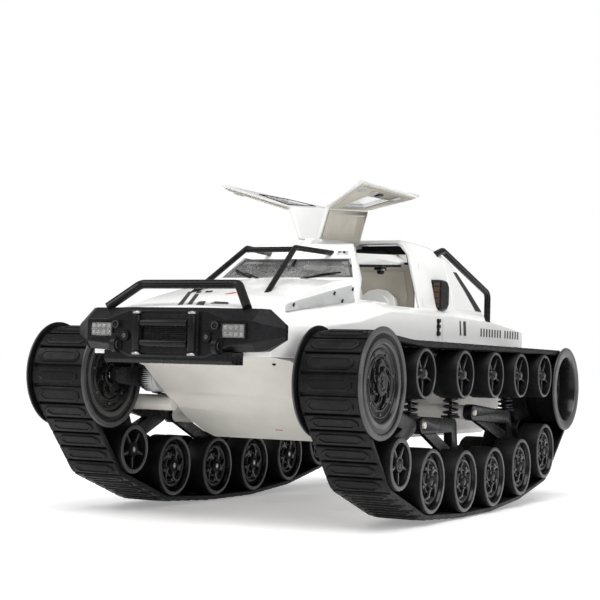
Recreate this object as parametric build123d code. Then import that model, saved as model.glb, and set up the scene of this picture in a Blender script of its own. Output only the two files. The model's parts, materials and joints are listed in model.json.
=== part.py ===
"""Tracked model vehicle: open-top body with gull-wing doors on a sprung, tracked hull.

Millimetres. +X is the front, +Y the vehicle's left, +Z up, and Z = 0 is the floor under the
tracks. Each sub-part is one STEP file named after its node.
"""
from build123d import *
import math
import os

# ---------------------------------------------------------------- driving dimensions
# tracks: every wheel is (x, z) of its axle
TRACK_MID_Y = 92.5            # middle of a track, from the vehicle's centre plane
TRACK_OUT_Y = 114.0           # outer face of the wheels
TRACK_IN_Y = 2 * TRACK_MID_Y - TRACK_OUT_Y
BELT_WIDTH = 38.0
BELT_GAP = 0.35               # running clearance between belt and wheels
BELT_CARCASS = 2.5
PAD_HEIGHT = 1.55
PAD_COUNT = 74
LUG_HEIGHT = 3.6

DRIVE_R, DRIVE_AXLE = 26.3, (161.0, 86.9)
REAR_R, REAR_AXLE = 25.2, (-184.0, 83.5)
FLANGE_LIP = 6.4              # how far the end wheels' flanges stand above their drums
ROLLER_R, ROLLER_Z = 15.65, 93.1
ROLLER_XS = (98.0, 32.0, -25.3, -78.0, -130.6)
GUIDE_R, GUIDE_AXLE = 15.8, (133.5, 39.8)
ROAD_R = 20.05
ROAD_AXLES = ((84.0, 27.3), (27.5, 24.45), (-26.5, 24.45), (-82.1, 28.6), (-134.8, 37.9))

AXLE_R = 1.6
RUN_FIT = 0.06                # radial running clearance of a wheel or arm on its pin
FACE_GAP = 0.4                # side clearance between parts that turn against each other

# suspension: a trailing arm on each pair of lower wheels, (pivot, damper foot)
ARM_THICKNESS = 6.0
ARM_GEOMETRY = (((120.0, 70.0), (73.0, 60.0)),
                ((56.5, 60.0), (3.5, 59.0)),
                ((-33.0, 67.0), (-104.3, 62.4)))
ARM_PIVOT_R = 2.2
DAMPER_TOP_Z = 90.0
COLLAR_Z = 84.0               # under side of the damper collars, where the springs end
DAMPER_R, DAMPER_ROD_R, DAMPER_BORE_R = 3.8, 1.0, 3.0
ROD_TOP_Z = 78.0              # end of the damper rod, just inside its barrel
SPRING_R, SPRING_WIRE = 5.4, 1.1
SEAT_RISE, SEAT_THICKNESS = 5.7, 1.6

# hull and body
HULL_FLOOR_Z, HULL_RIM_Z = 47.5, 100.0
HULL_HALF_FLOOR, HULL_HALF_RIM = 49.0, 57.0
WALL = 2.4
NOSE_X, TAIL_X = 198.0, -219.0
SILL_Z = 138.0
DECK_Z = 134.0
BUMPER_FACE_X = 213.8

# doors, hinged on the roof spine; places are (y, z) with the door open
HINGE_Y, HINGE_Z = 5.6, 177.5
HINGE_BARREL_R, HINGE_PIN_R = 2.3, 1.2
HINGE_X = (-22.0, 32.0)
SPINE_HALF = 2.9
DOOR_BEND_Y, DOOR_BEND_Z, DOOR_BEND_RISE = 13.9, 205.5, 0.088
DOOR_TIP_Y, DOOR_TIP_Z = 53.6, 216.8
DOOR_FRONT_X = (36.0, 38.0, 66.0)        # at the root, the bend and the tip
DOOR_REAR_X = -27.0
DOOR_THICKNESS = 2.0
WINDOW_X = (-10.0, 33.0)
WINDOW_Y = (18.9, 42.0)           # inner and outer edge with the door open
DOOR_GAP = 1.2

LEFT, RIGHT = 1, -1


# ---------------------------------------------------------------- helpers
def save(shape, name):
    """Write one node, kept as a compound of its own solids."""
    shape.label = name
    export_step(shape, f"parts/{name}.step")


def on_side(shape, side):
    """The left-hand shape as it is, or its mirror image for the right-hand side."""
    return shape if side == LEFT else mirror(shape, Plane.XZ)


def largest(shape):
    """The biggest of a shape's solids, without the bits cut off it."""
    return max(shape.solids(), key=lambda solid: solid.volume)


def both_sides(shape):
    """A shape and its mirror image across the centre plane."""
    return Compound(children=[*shape.solids(), *mirror(shape, Plane.XZ).solids()])


def plate(points, y0, y1):
    """A flat plate with an (x, z) outline, between two values of y."""
    face = make_face(Polyline([(x, 0, z) for x, z in points], close=True))
    return Pos(0, y0, 0) * extrude(face, (y1 - y0), dir=(0, 1, 0))


def slab_x(points, x0, x1):
    """A prism with a (y, z) outline, between two values of x."""
    face = make_face(Polyline([(0, y, z) for y, z in points], close=True))
    return Pos(x0, 0, 0) * extrude(face, (x1 - x0), dir=(1, 0, 0))


def mirrored_outline(half):
    """A closed (y, z) outline from the points of its left half, top to bottom."""
    return list(half) + [(-y, z) for y, z in reversed(half) if y > 0]


def disc(x, z, radius, y0, y1):
    """A round disc on an axle along y."""
    return Pos(x, (y0 + y1) / 2, z) * Rot(90, 0, 0) * Cylinder(radius, abs(y1 - y0))


def link(a, b, ra, rb, y0, y1):
    """A flat link with rounded ends: the tangent hull of two circles in the x-z plane."""
    dx, dz = b[0] - a[0], b[1] - a[1]
    span = math.hypot(dx, dz)
    along = math.atan2(dz, dx)
    lean = math.acos((ra - rb) / span)
    corners = [(c[0] + r * math.cos(along + s * lean), c[1] + r * math.sin(along + s * lean))
               for c, r, s in ((a, ra, 1), (b, rb, 1), (b, rb, -1), (a, ra, -1))]
    return plate(corners, y0, y1) + disc(*a, ra, y0, y1) + disc(*b, rb, y0, y1)


def tube(points, radius, bend):
    """A round bar along points, with equal bends at the corners."""
    path = FilletPolyline(*points, radius=bend)
    return sweep(Plane(path @ 0, z_dir=path % 0) * Circle(radius), path=path)


# ---------------------------------------------------------------- track belts
def belt_circles():
    """The round places of a belt's path: (x, z, radius, side), front, bottom, rear, top.

    Side -1 is a gentle counter-bend where the top run settles on to its first roller."""
    sag_r = 130.0
    crest_z = ROLLER_Z + ROLLER_R + BELT_GAP
    circles = [(*DRIVE_AXLE, DRIVE_R, 1), (*GUIDE_AXLE, GUIDE_R, 1)]
    circles += [(x, z, ROAD_R, 1) for x, z in ROAD_AXLES]
    circles += [(*REAR_AXLE, REAR_R, 1), (ROLLER_XS[0], crest_z + sag_r, sag_r, -1)]
    return circles


def belt_pieces(offset):
    """The path at an offset from the wheels: [(centre x, z, signed radius, angle in, angle out)].

    Angles are those of the outward normal, so a point is the centre plus the signed radius
    along it, and each turn is joined to the next by a straight run."""
    rounds = [(x, z, s * (r + s * offset)) for x, z, r, s in belt_circles()]
    normals = []
    for (ax, az, ar), (bx, bz, br) in zip(rounds, rounds[1:] + rounds[:1]):
        span = math.hypot(bx - ax, bz - az)
        along = math.atan2(bz - az, bx - ax)
        normals.append(along + math.acos((ar - br) / span))
    pieces = []
    for (x, z, r), start, end in zip(rounds, normals[-1:] + normals[:-1], normals):
        swing = math.remainder(end - start, 2 * math.pi)
        if r > 0 and swing > 0:
            swing -= 2 * math.pi
        pieces.append((x, z, r, start, start + swing))
    return pieces


def on_round(x, z, radius, angle):
    """A point of the path, from a turn's centre and an outward angle."""
    return (x + radius * math.cos(angle), 0, z + radius * math.sin(angle))


def belt_loop(offset):
    """The closed path at an offset from the wheels, as a face in the x-z plane."""
    pieces = belt_pieces(offset)
    edges = []
    for (x, z, r, a, b), after in zip(pieces, pieces[1:] + pieces[:1]):
        middle = on_round(x, z, r, (a + b) / 2)
        edges.append(ThreePointArc(on_round(x, z, r, a), middle, on_round(x, z, r, b)))
        edges.append(Line(on_round(x, z, r, b), on_round(*after[:3], after[3])))
    return Face(Wire(edges))


def belt_stations(offset, count):
    """Evenly spaced places along the path: [(x, z, outward angle), ...]."""
    pieces = belt_pieces(offset)
    spans = []
    for (x, z, r, a, b), after in zip(pieces, pieces[1:] + pieces[:1]):
        spans.append((abs(r * (b - a)), (x, z, r, a, b)))
        start, end = on_round(x, z, r, b), on_round(*after[:3], after[3])
        spans.append((math.dist(start, end), (start, end, b)))
    pitch = sum(length for length, _ in spans) / count
    stations, at = [], 0.0
    for length, span in spans:
        while at < length:
            share = at / length
            if len(span) == 5:
                x, z, r, a, b = span
                angle = a + share * (b - a)
                point = on_round(x, z, r, angle)
            else:
                start, end, angle = span
                point = [p + share * (q - p) for p, q in zip(start, end)]
            stations.append((point[0], point[2], angle))
            at += pitch
        at -= length
    return stations, pitch


def ring_between(inner, outer, y0, y1):
    """The band between two offsets of the belt path."""
    band = belt_loop(outer) - belt_loop(inner)
    return Pos(0, y0, 0) * extrude(band, y1 - y0, dir=(0, 1, 0))


def belt():
    """One rubber track: a carcass with raised tread pads outside and guide lugs inside."""
    half = BELT_WIDTH / 2
    y0, y1 = TRACK_MID_Y - half, TRACK_MID_Y + half
    top = BELT_GAP + BELT_CARCASS
    carcass = ring_between(BELT_GAP, top, y0, y1)
    stations, pitch = belt_stations(top, PAD_COUNT)
    root = 0.5
    for x, z, angle in stations[:PAD_COUNT]:
        seat = Pos(x, TRACK_MID_Y, z) * Rot(0, -math.degrees(angle), 0)
        pad = Box(PAD_HEIGHT + root, BELT_WIDTH - 3.0, 0.72 * pitch)
        lug = Box(LUG_HEIGHT + root, 4.4, 0.42 * pitch)
        carcass += seat * Pos((PAD_HEIGHT - root) / 2, 0, 0) * pad
        carcass += seat * Pos(-BELT_CARCASS - (LUG_HEIGHT - root) / 2, 0, 0) * lug
    return carcass


# ---------------------------------------------------------------- wheels
def bored(shape, x, z):
    """A wheel with its running bore."""
    return shape - disc(x, z, AXLE_R + RUN_FIT, 0, 2 * TRACK_OUT_Y)


def spokes(x, z, count, inner, outer, width, y0, y1, turn=90.0):
    """Equal flat spokes between two radii."""
    bar = Pos((inner + outer) / 2, 0, 0) * Box(outer - inner, width, y1 - y0)
    ring = [Rot(0, 0, turn + k * 360 / count) * bar for k in range(count)]
    place = Pos(x, (y0 + y1) / 2, z) * Rot(90, 0, 0)
    return [place * s for s in ring]


def rim_half(x, z, radius, face, back, dish, spoke_count):
    """One wheel half: a tyre ring, a dished web with spokes and a hub, open towards `face`."""
    out = 1 if face > back else -1
    floor = face - out * dish
    rim = disc(x, z, radius, face, back) - disc(x, z, radius - 3.2, face + out, floor)
    hub = disc(x, z, 5.2, face - out * 1.0, floor)
    arms = spokes(x, z, spoke_count, 4.0, radius - 2.6, 2.6, *sorted((face - out * 1.6, floor)))
    return rim + hub + arms - disc(x, z, 3.4, face, face - out * 3.4)


def road_wheel(x, z, radius):
    """Twin wheel: an outer and an inner half with the arm between them."""
    gap = ARM_THICKNESS / 2 + FACE_GAP
    outer = rim_half(x, z, radius, TRACK_OUT_Y, TRACK_MID_Y + gap, 6.0, 5)
    inner = rim_half(x, z, radius, TRACK_IN_Y, TRACK_MID_Y - gap, 6.0, 5)
    groove = disc(x, z, radius + 1, TRACK_MID_Y - 4.6, TRACK_MID_Y + 4.6)
    groove -= disc(x, z, radius - LUG_HEIGHT - 1.6, TRACK_MID_Y - 4.6, TRACK_MID_Y + 4.6)
    return bored(outer - groove, x, z), bored(inner - groove, x, z)


def return_roller(x):
    """Twin roller in one piece, grooved in the middle for the belt's guide lugs."""
    z = ROLLER_Z
    outer = rim_half(x, z, ROLLER_R, TRACK_OUT_Y, TRACK_MID_Y, 5.0, 5)
    inner = rim_half(x, z, ROLLER_R, TRACK_IN_Y, TRACK_MID_Y, 5.0, 5)
    groove = disc(x, z, ROLLER_R + 1, TRACK_MID_Y - 5.0, TRACK_MID_Y + 5.0)
    groove -= disc(x, z, ROLLER_R - LUG_HEIGHT - 2.0, TRACK_MID_Y - 5.0, TRACK_MID_Y + 5.0)
    return bored(outer + inner - groove, x, z)


def drive_wheel():
    """Front wheel: stepped outer disc with a rosette hub, twin drums and a lug groove."""
    x, z = DRIVE_AXLE
    edge = BELT_WIDTH / 2 + FACE_GAP
    body = disc(x, z, DRIVE_R, TRACK_IN_Y, TRACK_OUT_Y)
    for face, out in ((TRACK_OUT_Y, 1), (TRACK_IN_Y, -1)):
        body += disc(x, z, DRIVE_R + FLANGE_LIP, TRACK_MID_Y + out * edge, face)
        for radius, depth in ((29.5, 1.0), (22.5, 2.2), (14.0, 3.0)):
            body -= disc(x, z, radius, face - out * depth, face + out)
        body += disc(x, z, 7.0, face - out * 3.4, face - out * 0.8)
        body -= disc(x, z, 3.4, face - out * 3.0, face + out)
    groove = disc(x, z, DRIVE_R + 1, TRACK_MID_Y - 4.0, TRACK_MID_Y + 4.0)
    groove -= disc(x, z, DRIVE_R - LUG_HEIGHT - 1.6, TRACK_MID_Y - 4.0, TRACK_MID_Y + 4.0)
    return bored(body - groove, x, z)


def rear_wheel():
    """Rear idler: an open flanged ring on a hub plate set deep at its inner side."""
    x, z = REAR_AXLE
    edge = BELT_WIDTH / 2 + FACE_GAP
    body = disc(x, z, REAR_R, TRACK_IN_Y, TRACK_OUT_Y)
    body += disc(x, z, REAR_R + FLANGE_LIP, TRACK_MID_Y + edge, TRACK_OUT_Y)
    body += disc(x, z, REAR_R + FLANGE_LIP, TRACK_MID_Y - edge, TRACK_IN_Y)
    groove = disc(x, z, REAR_R + 1, TRACK_MID_Y - 4.0, TRACK_MID_Y + 4.0)
    groove -= disc(x, z, REAR_R - LUG_HEIGHT + 0.1, TRACK_MID_Y - 4.0, TRACK_MID_Y + 4.0)
    body -= groove
    body -= disc(x, z, REAR_R - 5.0, TRACK_IN_Y + 11.0, TRACK_OUT_Y + 1)
    body -= disc(x, z, REAR_R - 2.0, TRACK_MID_Y + 6.0, TRACK_OUT_Y + 1)
    body += disc(x, z, 6.0, TRACK_IN_Y + 4.0, TRACK_IN_Y + 17.0)
    body -= disc(x, z, 3.4, TRACK_IN_Y + 14.0, TRACK_OUT_Y)
    return bored(body, x, z)


# ---------------------------------------------------------------- suspension
def axle(x, z):
    """A lower wheel pair's axle: a pin with a head sunk in each hub."""
    head = 2.2
    inset = 3.0
    pin = disc(x, z, AXLE_R, TRACK_IN_Y + inset - head / 2, TRACK_OUT_Y - inset + head / 2)
    for face, out in ((TRACK_OUT_Y, 1), (TRACK_IN_Y, -1)):
        pin += disc(x, z, 3.0, face - out * inset, face - out * (inset - head))
    return pin


def swing_arm(index):
    """A trailing arm with its beam, wheel axles, spring seat and damper rod."""
    pivot, foot = ARM_GEOMETRY[index]
    wheels = (GUIDE_AXLE, *ROAD_AXLES)[2 * index:2 * index + 2]
    y0, y1 = TRACK_MID_Y - ARM_THICKNESS / 2, TRACK_MID_Y + ARM_THICKNESS / 2
    middle = ((wheels[0][0] + wheels[1][0]) / 2, (wheels[0][1] + wheels[1][1]) / 2 + 13.0)
    arm = link(pivot, foot, 5.6, 4.6, y0, y1)
    arm += link(foot, middle, 4.6, 5.4, y0, y1)
    arm += link(pivot, middle, 4.0, 4.4, y0 + 1.4, y1 - 1.4)
    for wheel in wheels:
        arm += link(middle, wheel, 5.4, 5.0, y0, y1) + axle(*wheel)
    seat_z = foot[1] + SEAT_RISE
    arm += Pos(foot[0], TRACK_MID_Y, seat_z) * Cylinder(SPRING_R + 1.0, SEAT_THICKNESS)
    rod = Cylinder(DAMPER_ROD_R, ROD_TOP_Z - foot[1])
    arm += Pos(foot[0], TRACK_MID_Y, (ROD_TOP_Z + foot[1]) / 2) * rod
    return arm - disc(*pivot, ARM_PIVOT_R + RUN_FIT, y0 - 1, y1 + 1)


def spring(index):
    """Coil spring between the arm's seat and the damper's collar."""
    x, foot_z = ARM_GEOMETRY[index][1]
    bottom = foot_z + SEAT_RISE + SEAT_THICKNESS / 2 + SPRING_WIRE / 2
    top = COLLAR_Z - SPRING_WIRE / 2
    turns = 5
    coil = Helix((top - bottom) / turns, top - bottom, SPRING_R - SPRING_WIRE / 2)
    wire = sweep(Plane(coil @ 0, z_dir=coil % 0) * Circle(SPRING_WIRE / 2), path=coil,
                 is_frenet=True)
    return Pos(x, TRACK_MID_Y, bottom) * wire


def damper_barrel(index):
    """Damper cylinder with its collar, on a bracket that reaches out from the hull."""
    x = ARM_GEOMETRY[index][1][0]
    y, top, length = TRACK_MID_Y, DAMPER_TOP_Z, 14.0
    flank = 58.5
    barrel = Pos(x, y, top - length / 2) * Cylinder(DAMPER_R, length)
    barrel += Pos(x, y, COLLAR_Z + 1.0) * Cylinder(SPRING_R + 1.0, 2.0)
    barrel -= Pos(x, y, top - length / 2 - 1.5) * Cylinder(DAMPER_BORE_R, length - 3.0)
    barrel += Pos(x, (flank + y) / 2, top - 1.5) * Box(5.0, y - flank, 3.0)
    barrel += Pos(x, flank + 1.5, top - 1.5) * Box(9.0, 3.0, 12.0)
    return barrel


# ---------------------------------------------------------------- hull
def hull_half_width(z, wall=0.0):
    """The hull's half width at a height."""
    share = (z - HULL_FLOOR_Z) / (HULL_RIM_Z - HULL_FLOOR_Z)
    return HULL_HALF_FLOOR + (HULL_HALF_RIM - HULL_HALF_FLOOR) * share - wall


def hull_block(wall, rim_z):
    """The hull's outer form, or the space inside its walls."""
    side = [(190 - wall, rim_z), (166 - wall, 98.0 + wall), (149.7 - 1.6 * wall, 93.3 + wall / 2),
            (130.9 - 1.2 * wall, 78.0), (105.6 - wall, 61.0 + wall / 2),
            (77.5, HULL_FLOOR_Z + wall), (-183.0, HULL_FLOOR_Z + wall),
            (-205.0 + wall, 70.0), (-214.0 + wall, rim_z)]
    low, high = HULL_FLOOR_Z + wall, rim_z
    chamfer = 4.0
    half = [(hull_half_width(high, wall), high), (hull_half_width(low + chamfer, wall), low + chamfer),
            (hull_half_width(low, wall) - chamfer, low)]
    return plate(side, -70, 70) & slab_x(mirrored_outline(half), TAIL_X, NOSE_X)


def lower_hull():
    """The tub: a thin-walled hull with bosses and pins for rollers, arms and end wheels."""
    tub = hull_block(0.0, HULL_RIM_Z) - hull_block(WALL, HULL_RIM_Z + 1.0)
    pins = []
    for x in ROLLER_XS:
        pins.append(disc(x, ROLLER_Z, 4.5, 54.0, TRACK_IN_Y - FACE_GAP))
        pins.append(disc(x, ROLLER_Z, AXLE_R, 60.0, TRACK_OUT_Y - 2.0))
    pins.append(disc(*REAR_AXLE, 7.0, 52.5, TRACK_IN_Y - FACE_GAP))
    pins.append(disc(*REAR_AXLE, AXLE_R, 60.0, TRACK_IN_Y + 16.0))
    arm_face = TRACK_MID_Y - ARM_THICKNESS / 2 - FACE_GAP
    for pivot, _ in ARM_GEOMETRY:
        pins.append(disc(*pivot, 5.0, hull_half_width(pivot[1]) - 1.5, arm_face))
        pins.append(disc(*pivot, ARM_PIVOT_R, 60.0, TRACK_MID_Y + ARM_THICKNESS / 2 + 1.4))
    for pin in pins:
        tub += pin
        tub += mirror(pin, Plane.XZ)
    return tub


def drive_gearbox():
    """Final drive on one side: a housing on the hull and a slim case out to the front axle."""
    low, high = (117.0, 85.2), (130.0, 86.0)
    box = link(low, high, 8.8, 9.0, 57.6, 65.5)
    box += link(high, DRIVE_AXLE, 6.6, 4.8, 65.0, TRACK_IN_Y - FACE_GAP)
    box += disc(*DRIVE_AXLE, AXLE_R, 68.0, TRACK_OUT_Y - 2.0)
    box += link(low, high, 7.5, 7.5, 56.0, 58.0) - hull_block(-0.05, HULL_RIM_Z + 3)
    return box


def drive_motor():
    """Motor can lying across the hull behind its gearbox."""
    x, z = 88.0, 84.0
    can = disc(x, z, 14.0, 12.0, 48.0)
    return can + disc(x, z, 5.0, 48.0, 51.0) + disc(x, z, 6.0, 9.0, 12.0)


def battery_pack():
    """Battery lying on the hull floor."""
    case = Pos(-40.0, 0, HULL_FLOOR_Z + WALL + 11.0) * Box(96.0, 38.0, 22.0)
    return fillet(case.edges().filter_by(Axis.X), 4.0)


def control_board():
    """Receiver and speed controller in one box behind the battery."""
    box = Pos(-130.0, 0, HULL_FLOOR_Z + WALL + 8.0) * Box(52.0, 40.0, 16.0)
    fins = [Pos(-130.0, y, HULL_FLOOR_Z + WALL + 17.5) * Box(40.0, 1.6, 4.0) for y in range(-15, 16, 5)]
    return box + fins


# ---------------------------------------------------------------- body
def body_sections(wall):
    """Half outlines of the lower body at stations along x, top centre to bottom edge."""
    w = wall
    return ((NOSE_X - w, ((0, 127.5 - w), (46, 126.5 - w), (52 - w / 2, 123 - w), (60 - w, 118 - w / 2),
                          (60 - w, 100.2))),
            (150.0, ((0, 139.5 - w), (46 - w / 3, 137.5 - w), (50 - w, 129 - w / 2), (64 - w, 119 - w / 2),
                     (65 - w, 100.2))),
            (92.0, ((0, 152 - w), (47 - w / 2, 149.5 - w), (52 - w, 134 - w / 2), (65 - w, 124 - w / 2),
                    (65 - w, 100.2))),
            (66.0, ((0, 153.6 - w), (50 - w / 2, 152 - w), (54 - w, 138 - w / 2), (65 - w, 129 - w / 2),
                    (65 - w, 100.2))),
            (40.0, ((0, SILL_Z + 8 - w), (51 - w, SILL_Z - w / 2), (56 - w, SILL_Z - w), (65 - w, 133 - w / 2),
                    (65 - w, 100.2))),
            (-62.0, ((0, SILL_Z - w), (51 - w, SILL_Z - w), (56 - w, SILL_Z - w), (65 - w, 134 - w / 2),
                     (65 - w, 100.2))),
            (-160.0, ((0, DECK_Z - w), (51 - w, DECK_Z + 1 - w), (56 - w, DECK_Z - w), (65 - w, 132 - w / 2),
                      (65 - w, 100.2))),
            (TAIL_X + w, ((0, DECK_Z - 4 - w), (51 - w, DECK_Z - 4 - w), (56 - w, DECK_Z - 4 - w),
                          (65 - w, 127 - w / 2), (65 - w, 104.2))))


def body_block(wall):
    """Solid through the body's sections, or the space inside its walls."""
    faces = []
    for x, half in body_sections(wall):
        points = [(x, y, z) for y, z in mirrored_outline(half)]
        faces.append(make_face(Polyline(points, close=True)))
    return loft(faces, ruled=True)


def cabin_profile(inset):
    """Side view of the cabin: windscreen, roof and rear buttress."""
    i = inset
    return [(77 - i, 125), (73 - i, 150.0), (67.8 - i, 153.6), (51.5 - i, 168.2 - i / 2),
            (45.0 - i, 175.0 - i), (35.0, 180.5 - i), (-33.0, 186.5 - i), (-76.0, 186.0 - i), (-88.0 + i / 2, 183.5 - i),
            (-113.0 + i, 170.7 - i / 2), (-155.0 + 1.3 * i, 138.0), (-165.0 + i, 125)]


def cabin_half(inset, rear):
    """Half of the cabin's cross-section, at the windscreen frame or behind the doors."""
    i = inset
    if rear:
        return [(35.0 - i, 189.0), (40.5 - i, 184.0 - i / 2), (46.5 - i, 176.0), (52.0 - i, 155.0),
                (56.0 - i, 138.0), (57.0 - i, 125.0)]
    return [(31.0 - i, 186.0), (35.5 - i, 178.0 - i / 2), (50.6 - i, 153.6), (55.0 - i, 138.5),
            (56.0 - i, 125.0)]


def cabin_block(inset):
    """The cabin's front frame and its part behind the doors, as solid forms."""
    side = plate(cabin_profile(inset), -70, 70)
    front = slab_x(mirrored_outline([(0, 189), *cabin_half(inset, False)]), 28.0, 79)
    behind = mirrored_outline([(0, 189.5), *cabin_half(inset, True)])
    rear = slab_x(behind, -170, DOOR_REAR_X - 1.0 + inset)
    return side & (front + rear)


def doorway():
    """The space that one shut door fills, from the roof spine down to the sill."""
    g = DOOR_GAP
    root, bend, tip = DOOR_FRONT_X
    shut_z = (177.0, 142.0)
    outline = [(root + g, 195.0), (bend + g, shut_z[0]), (tip + g, shut_z[1]), (tip + 2 * g, 139.4),
               (DOOR_REAR_X - g, 139.4), (DOOR_REAR_X - g, 195.0)]
    return plate(outline, SPINE_HALF, 70)


def roof_rails():
    """Inner rails that the shut doors close against, and the spine that carries the hinges."""
    front = [(28.6, 171.4), (32.4, 171.4), (36.6, 163.4), (32.6, 163.4)]
    rear = [(34.2, 177.2), (37.6, 177.2), (41.8, 170.4), (37.8, 170.4)]
    ends = [make_face(Polyline([(x, y, z) for y, z in section], close=True))
            for x, section in ((50.0, front), (-54.0, rear))]
    rail = loft(ends, ruled=True) & plate([(60, 160), (46.5, 174.8), (-34, 178.5), (-34, 160)], 20, 60)
    foot = [(36.0, 170.4), (46.5, 170.4), (45.5, 176.0), (36.0, 176.0)]
    rail += slab_x(foot, -34.0, DOOR_REAR_X - DOOR_GAP - 0.2)
    spine = plate([(46, 174.0), (36, 182.4), (-33, 187.2), (-62, 187.2), (-62, 183.6), (-33, 180.0),
                   (36, 174.5)], -SPINE_HALF, SPINE_HALF)
    shape = rail + mirror(rail, Plane.XZ) + spine
    for x in HINGE_X:
        shape += Pos(x, 0, HINGE_Z) * Box(4.0, 2 * HINGE_Y + 3.0, 4.0)
    for y in (HINGE_Y, -HINGE_Y):
        pin = Rot(0, 90, 0) * Cylinder(HINGE_PIN_R, HINGE_X[1] - HINGE_X[0])
        shape += Pos(sum(HINGE_X) / 2, y, HINGE_Z) * pin
    return shape


def upper_body_shell():
    """White body: nose, flanks and deck, with the cabin frame, roof spine and buttresses."""
    body = body_block(0.0) - body_block(WALL)
    body -= Pos(-19.0, 0, 150.0) * Box(158.0, 96.0, 44.0)
    cabin = cabin_block(0.0) - cabin_block(WALL) - body_block(0.0)
    windscreen = slab_x(mirrored_outline([(0, 167.0), (39.6, 167.0), (48.2, 153.9), (0, 153.9)]), 40, 90)
    rear_window = plate([(-95, 141), (-95, 176), (-108, 169), (-143, 141)], -70, 70)
    rear_hatch = slab_x([(-40, 142), (-34, 178), (34, 178), (40, 142)], -170, -96)
    shell = body + (cabin - windscreen - rear_window - rear_hatch)
    shell -= doorway()
    shell -= mirror(doorway(), Plane.XZ)
    return shell + roof_rails()


def windshield_glass():
    """Two flat panes in the windscreen frame."""
    pane = slab_x([(1.2, 166.6), (39.0, 166.6), (47.4, 154.0), (1.2, 154.0)], 40, 80)
    sheet = plate([(66.2, 153.0), (51.6, 167.0), (50.4, 167.0), (65.0, 153.0)], -50, 50)
    return both_sides(pane & sheet)


def air_intakes():
    """Side scoops behind the doors, and the flat vent panels beside the bonnet."""
    x0, x1, bulge = -76.0, -58.5, 58.6
    side = [(x1, 138.6), (x0 + 4, 138.6), (x0, 142.6), (x0, 156.2), (x0 + 4, 160.2), (x1, 160.2)]
    front = [(40, 137), (bulge - 1, 137), (bulge, 140), (bulge, 158), (bulge - 2, 160.4), (40, 160.4)]
    scoop = plate(side, 40, bulge) & slab_x(front, x0, x1)
    mouth = plate([(x1 + 1, 141.0), (x1 - 9, 141.0), (x1 - 9, 157.5), (x1 + 1, 157.5)], 53.6, bulge - 1.6)
    scoop = scoop - mouth - cabin_block(0.0) - body_block(0.0)
    vent = plate([(163.8, 127.6), (160.4, 130.8), (157.2, 132.4), (67.0, 149.6), (69.9, 138.6)], 45, 70)
    vent = (vent & (body_block(-0.9) - body_block(0.0))) - cabin_block(0.0) - doorway()
    return both_sides(scoop), both_sides(largest(vent))


def cabin_interior():
    """Two bucket seats and the dashboard on the cabin floor."""
    floor = Pos(-17.0, 0, 118.0) * Box(150.0, 92.0, 3.0)
    seats = []
    for y in (22.0, -22.0):
        cushion = Pos(-12.0, y, 125.5) * Box(34.0, 32.0, 14.0)
        back = Pos(-34.0, y, 141.0) * Rot(0, -12, 0) * Box(9.0, 32.0, 44.0)
        seats += [cushion, back]
    dash = plate([(58.0, 119.0), (58.0, 150.0), (40.0, 145.0), (36.0, 119.0)], -44, 44)
    shape = floor + dash
    for piece in seats:
        shape += piece
    return shape


# ---------------------------------------------------------------- front and rear fittings
def front_bumper():
    """Winch bumper: a deep bar with swept ends, bevelled over the lamps, and a stepped lower edge."""
    half = [(0, 127.4), (61, 127.4), (70.5, 118.0), (70.5, 112.0), (61.3, 103.1), (42.6, 102.7),
            (34.0, 95.2), (0, 95.2)]
    bar = slab_x(mirrored_outline(half), NOSE_X + 0.4, BUMPER_FACE_X)
    plan = [(190.0, 72.0), (198.8, 72.0), (209.2, 59.4), (212.6, 55.5), (BUMPER_FACE_X, 40.0)]
    plan += [(x, -y) for x, y in reversed(plan)]
    bar &= Pos(0, 0, 90.0) * extrude(make_face(Polyline(plan, close=True)), 45.0, dir=(0, 0, 1))
    bevel = [(204.2, 127.5), (213.9, 120.4), (220.0, 120.4), (220.0, 130.0), (204.2, 130.0)]
    for y0, y1 in ((33.0, 75.0), (-75.0, -33.0)):
        bar -= plate(bevel, y0, y1)
    lamp = Pos(214.0, 44.4, 114.3) * Box(6.0, 15.0, 8.4)
    window = Pos(215.0, 0, 112.0) * Box(8.0, 34.0, 17.0)
    return bar - lamp - mirror(lamp, Plane.XZ) - window


def light_bars():
    """Lamp units sunk in the bumper."""
    return both_sides(Pos(212.25, 44.4, 114.3) * Box(2.3, 14.4, 7.8))


def winch_and_tow_eyes(bumper):
    """Roller fairlead in the bumper's window, and a recovery eye on each side of it."""
    frame = Pos(213.0, 0, 112.0) * Box(3.6, 33.0, 16.0) - Pos(213.0, 0, 112.0) * Box(8.0, 26.0, 9.0)
    posts = [Pos(216.0, y, 112.0) * Cylinder(2.0, 16.0) for y in (14.4, -14.4)]
    levels = [disc(216.0, z, 2.0, -14.0, 14.0) for z in (117.6, 106.4)]
    for piece in posts + levels:
        frame += piece
    eye = disc(215.6, 109.0, 3.4, 32.5, 35.1) - disc(215.6, 109.0, 1.4, 30.0, 40.0)
    eye = (eye & Pos(BUMPER_FACE_X + 5.0, 33.8, 109.0) * Box(10.0, 10.0, 10.0))
    eye += Pos(BUMPER_FACE_X + 0.4, 33.8, 109.0) * Box(0.8, 6.0, 8.0)
    return Compound(children=[*frame.solids(), *both_sides(eye - bumper).solids()])


def bull_bar():
    """Hoop bar over the bumper."""
    hoop = [(204.0, 47.4, 127.5), (190.0, 33.5, 142.0), (190.0, -33.5, 142.0), (204.0, -47.4, 127.5)]
    return tube(hoop, 2.7, 5.0)


def windshield_guard():
    """Tube guard over the bonnet up to the roof's front edge."""
    legs = [(143.0, 26.2, 138.6), (90.0, 17.6, 171.5), (46.5, 23.5, 171.2)]
    side = tube(legs, 1.8, 4.0)
    cross = disc(91.0, 170.3, 1.8, -17.0, 17.0)
    return side + mirror(side, Plane.XZ) + cross


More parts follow.
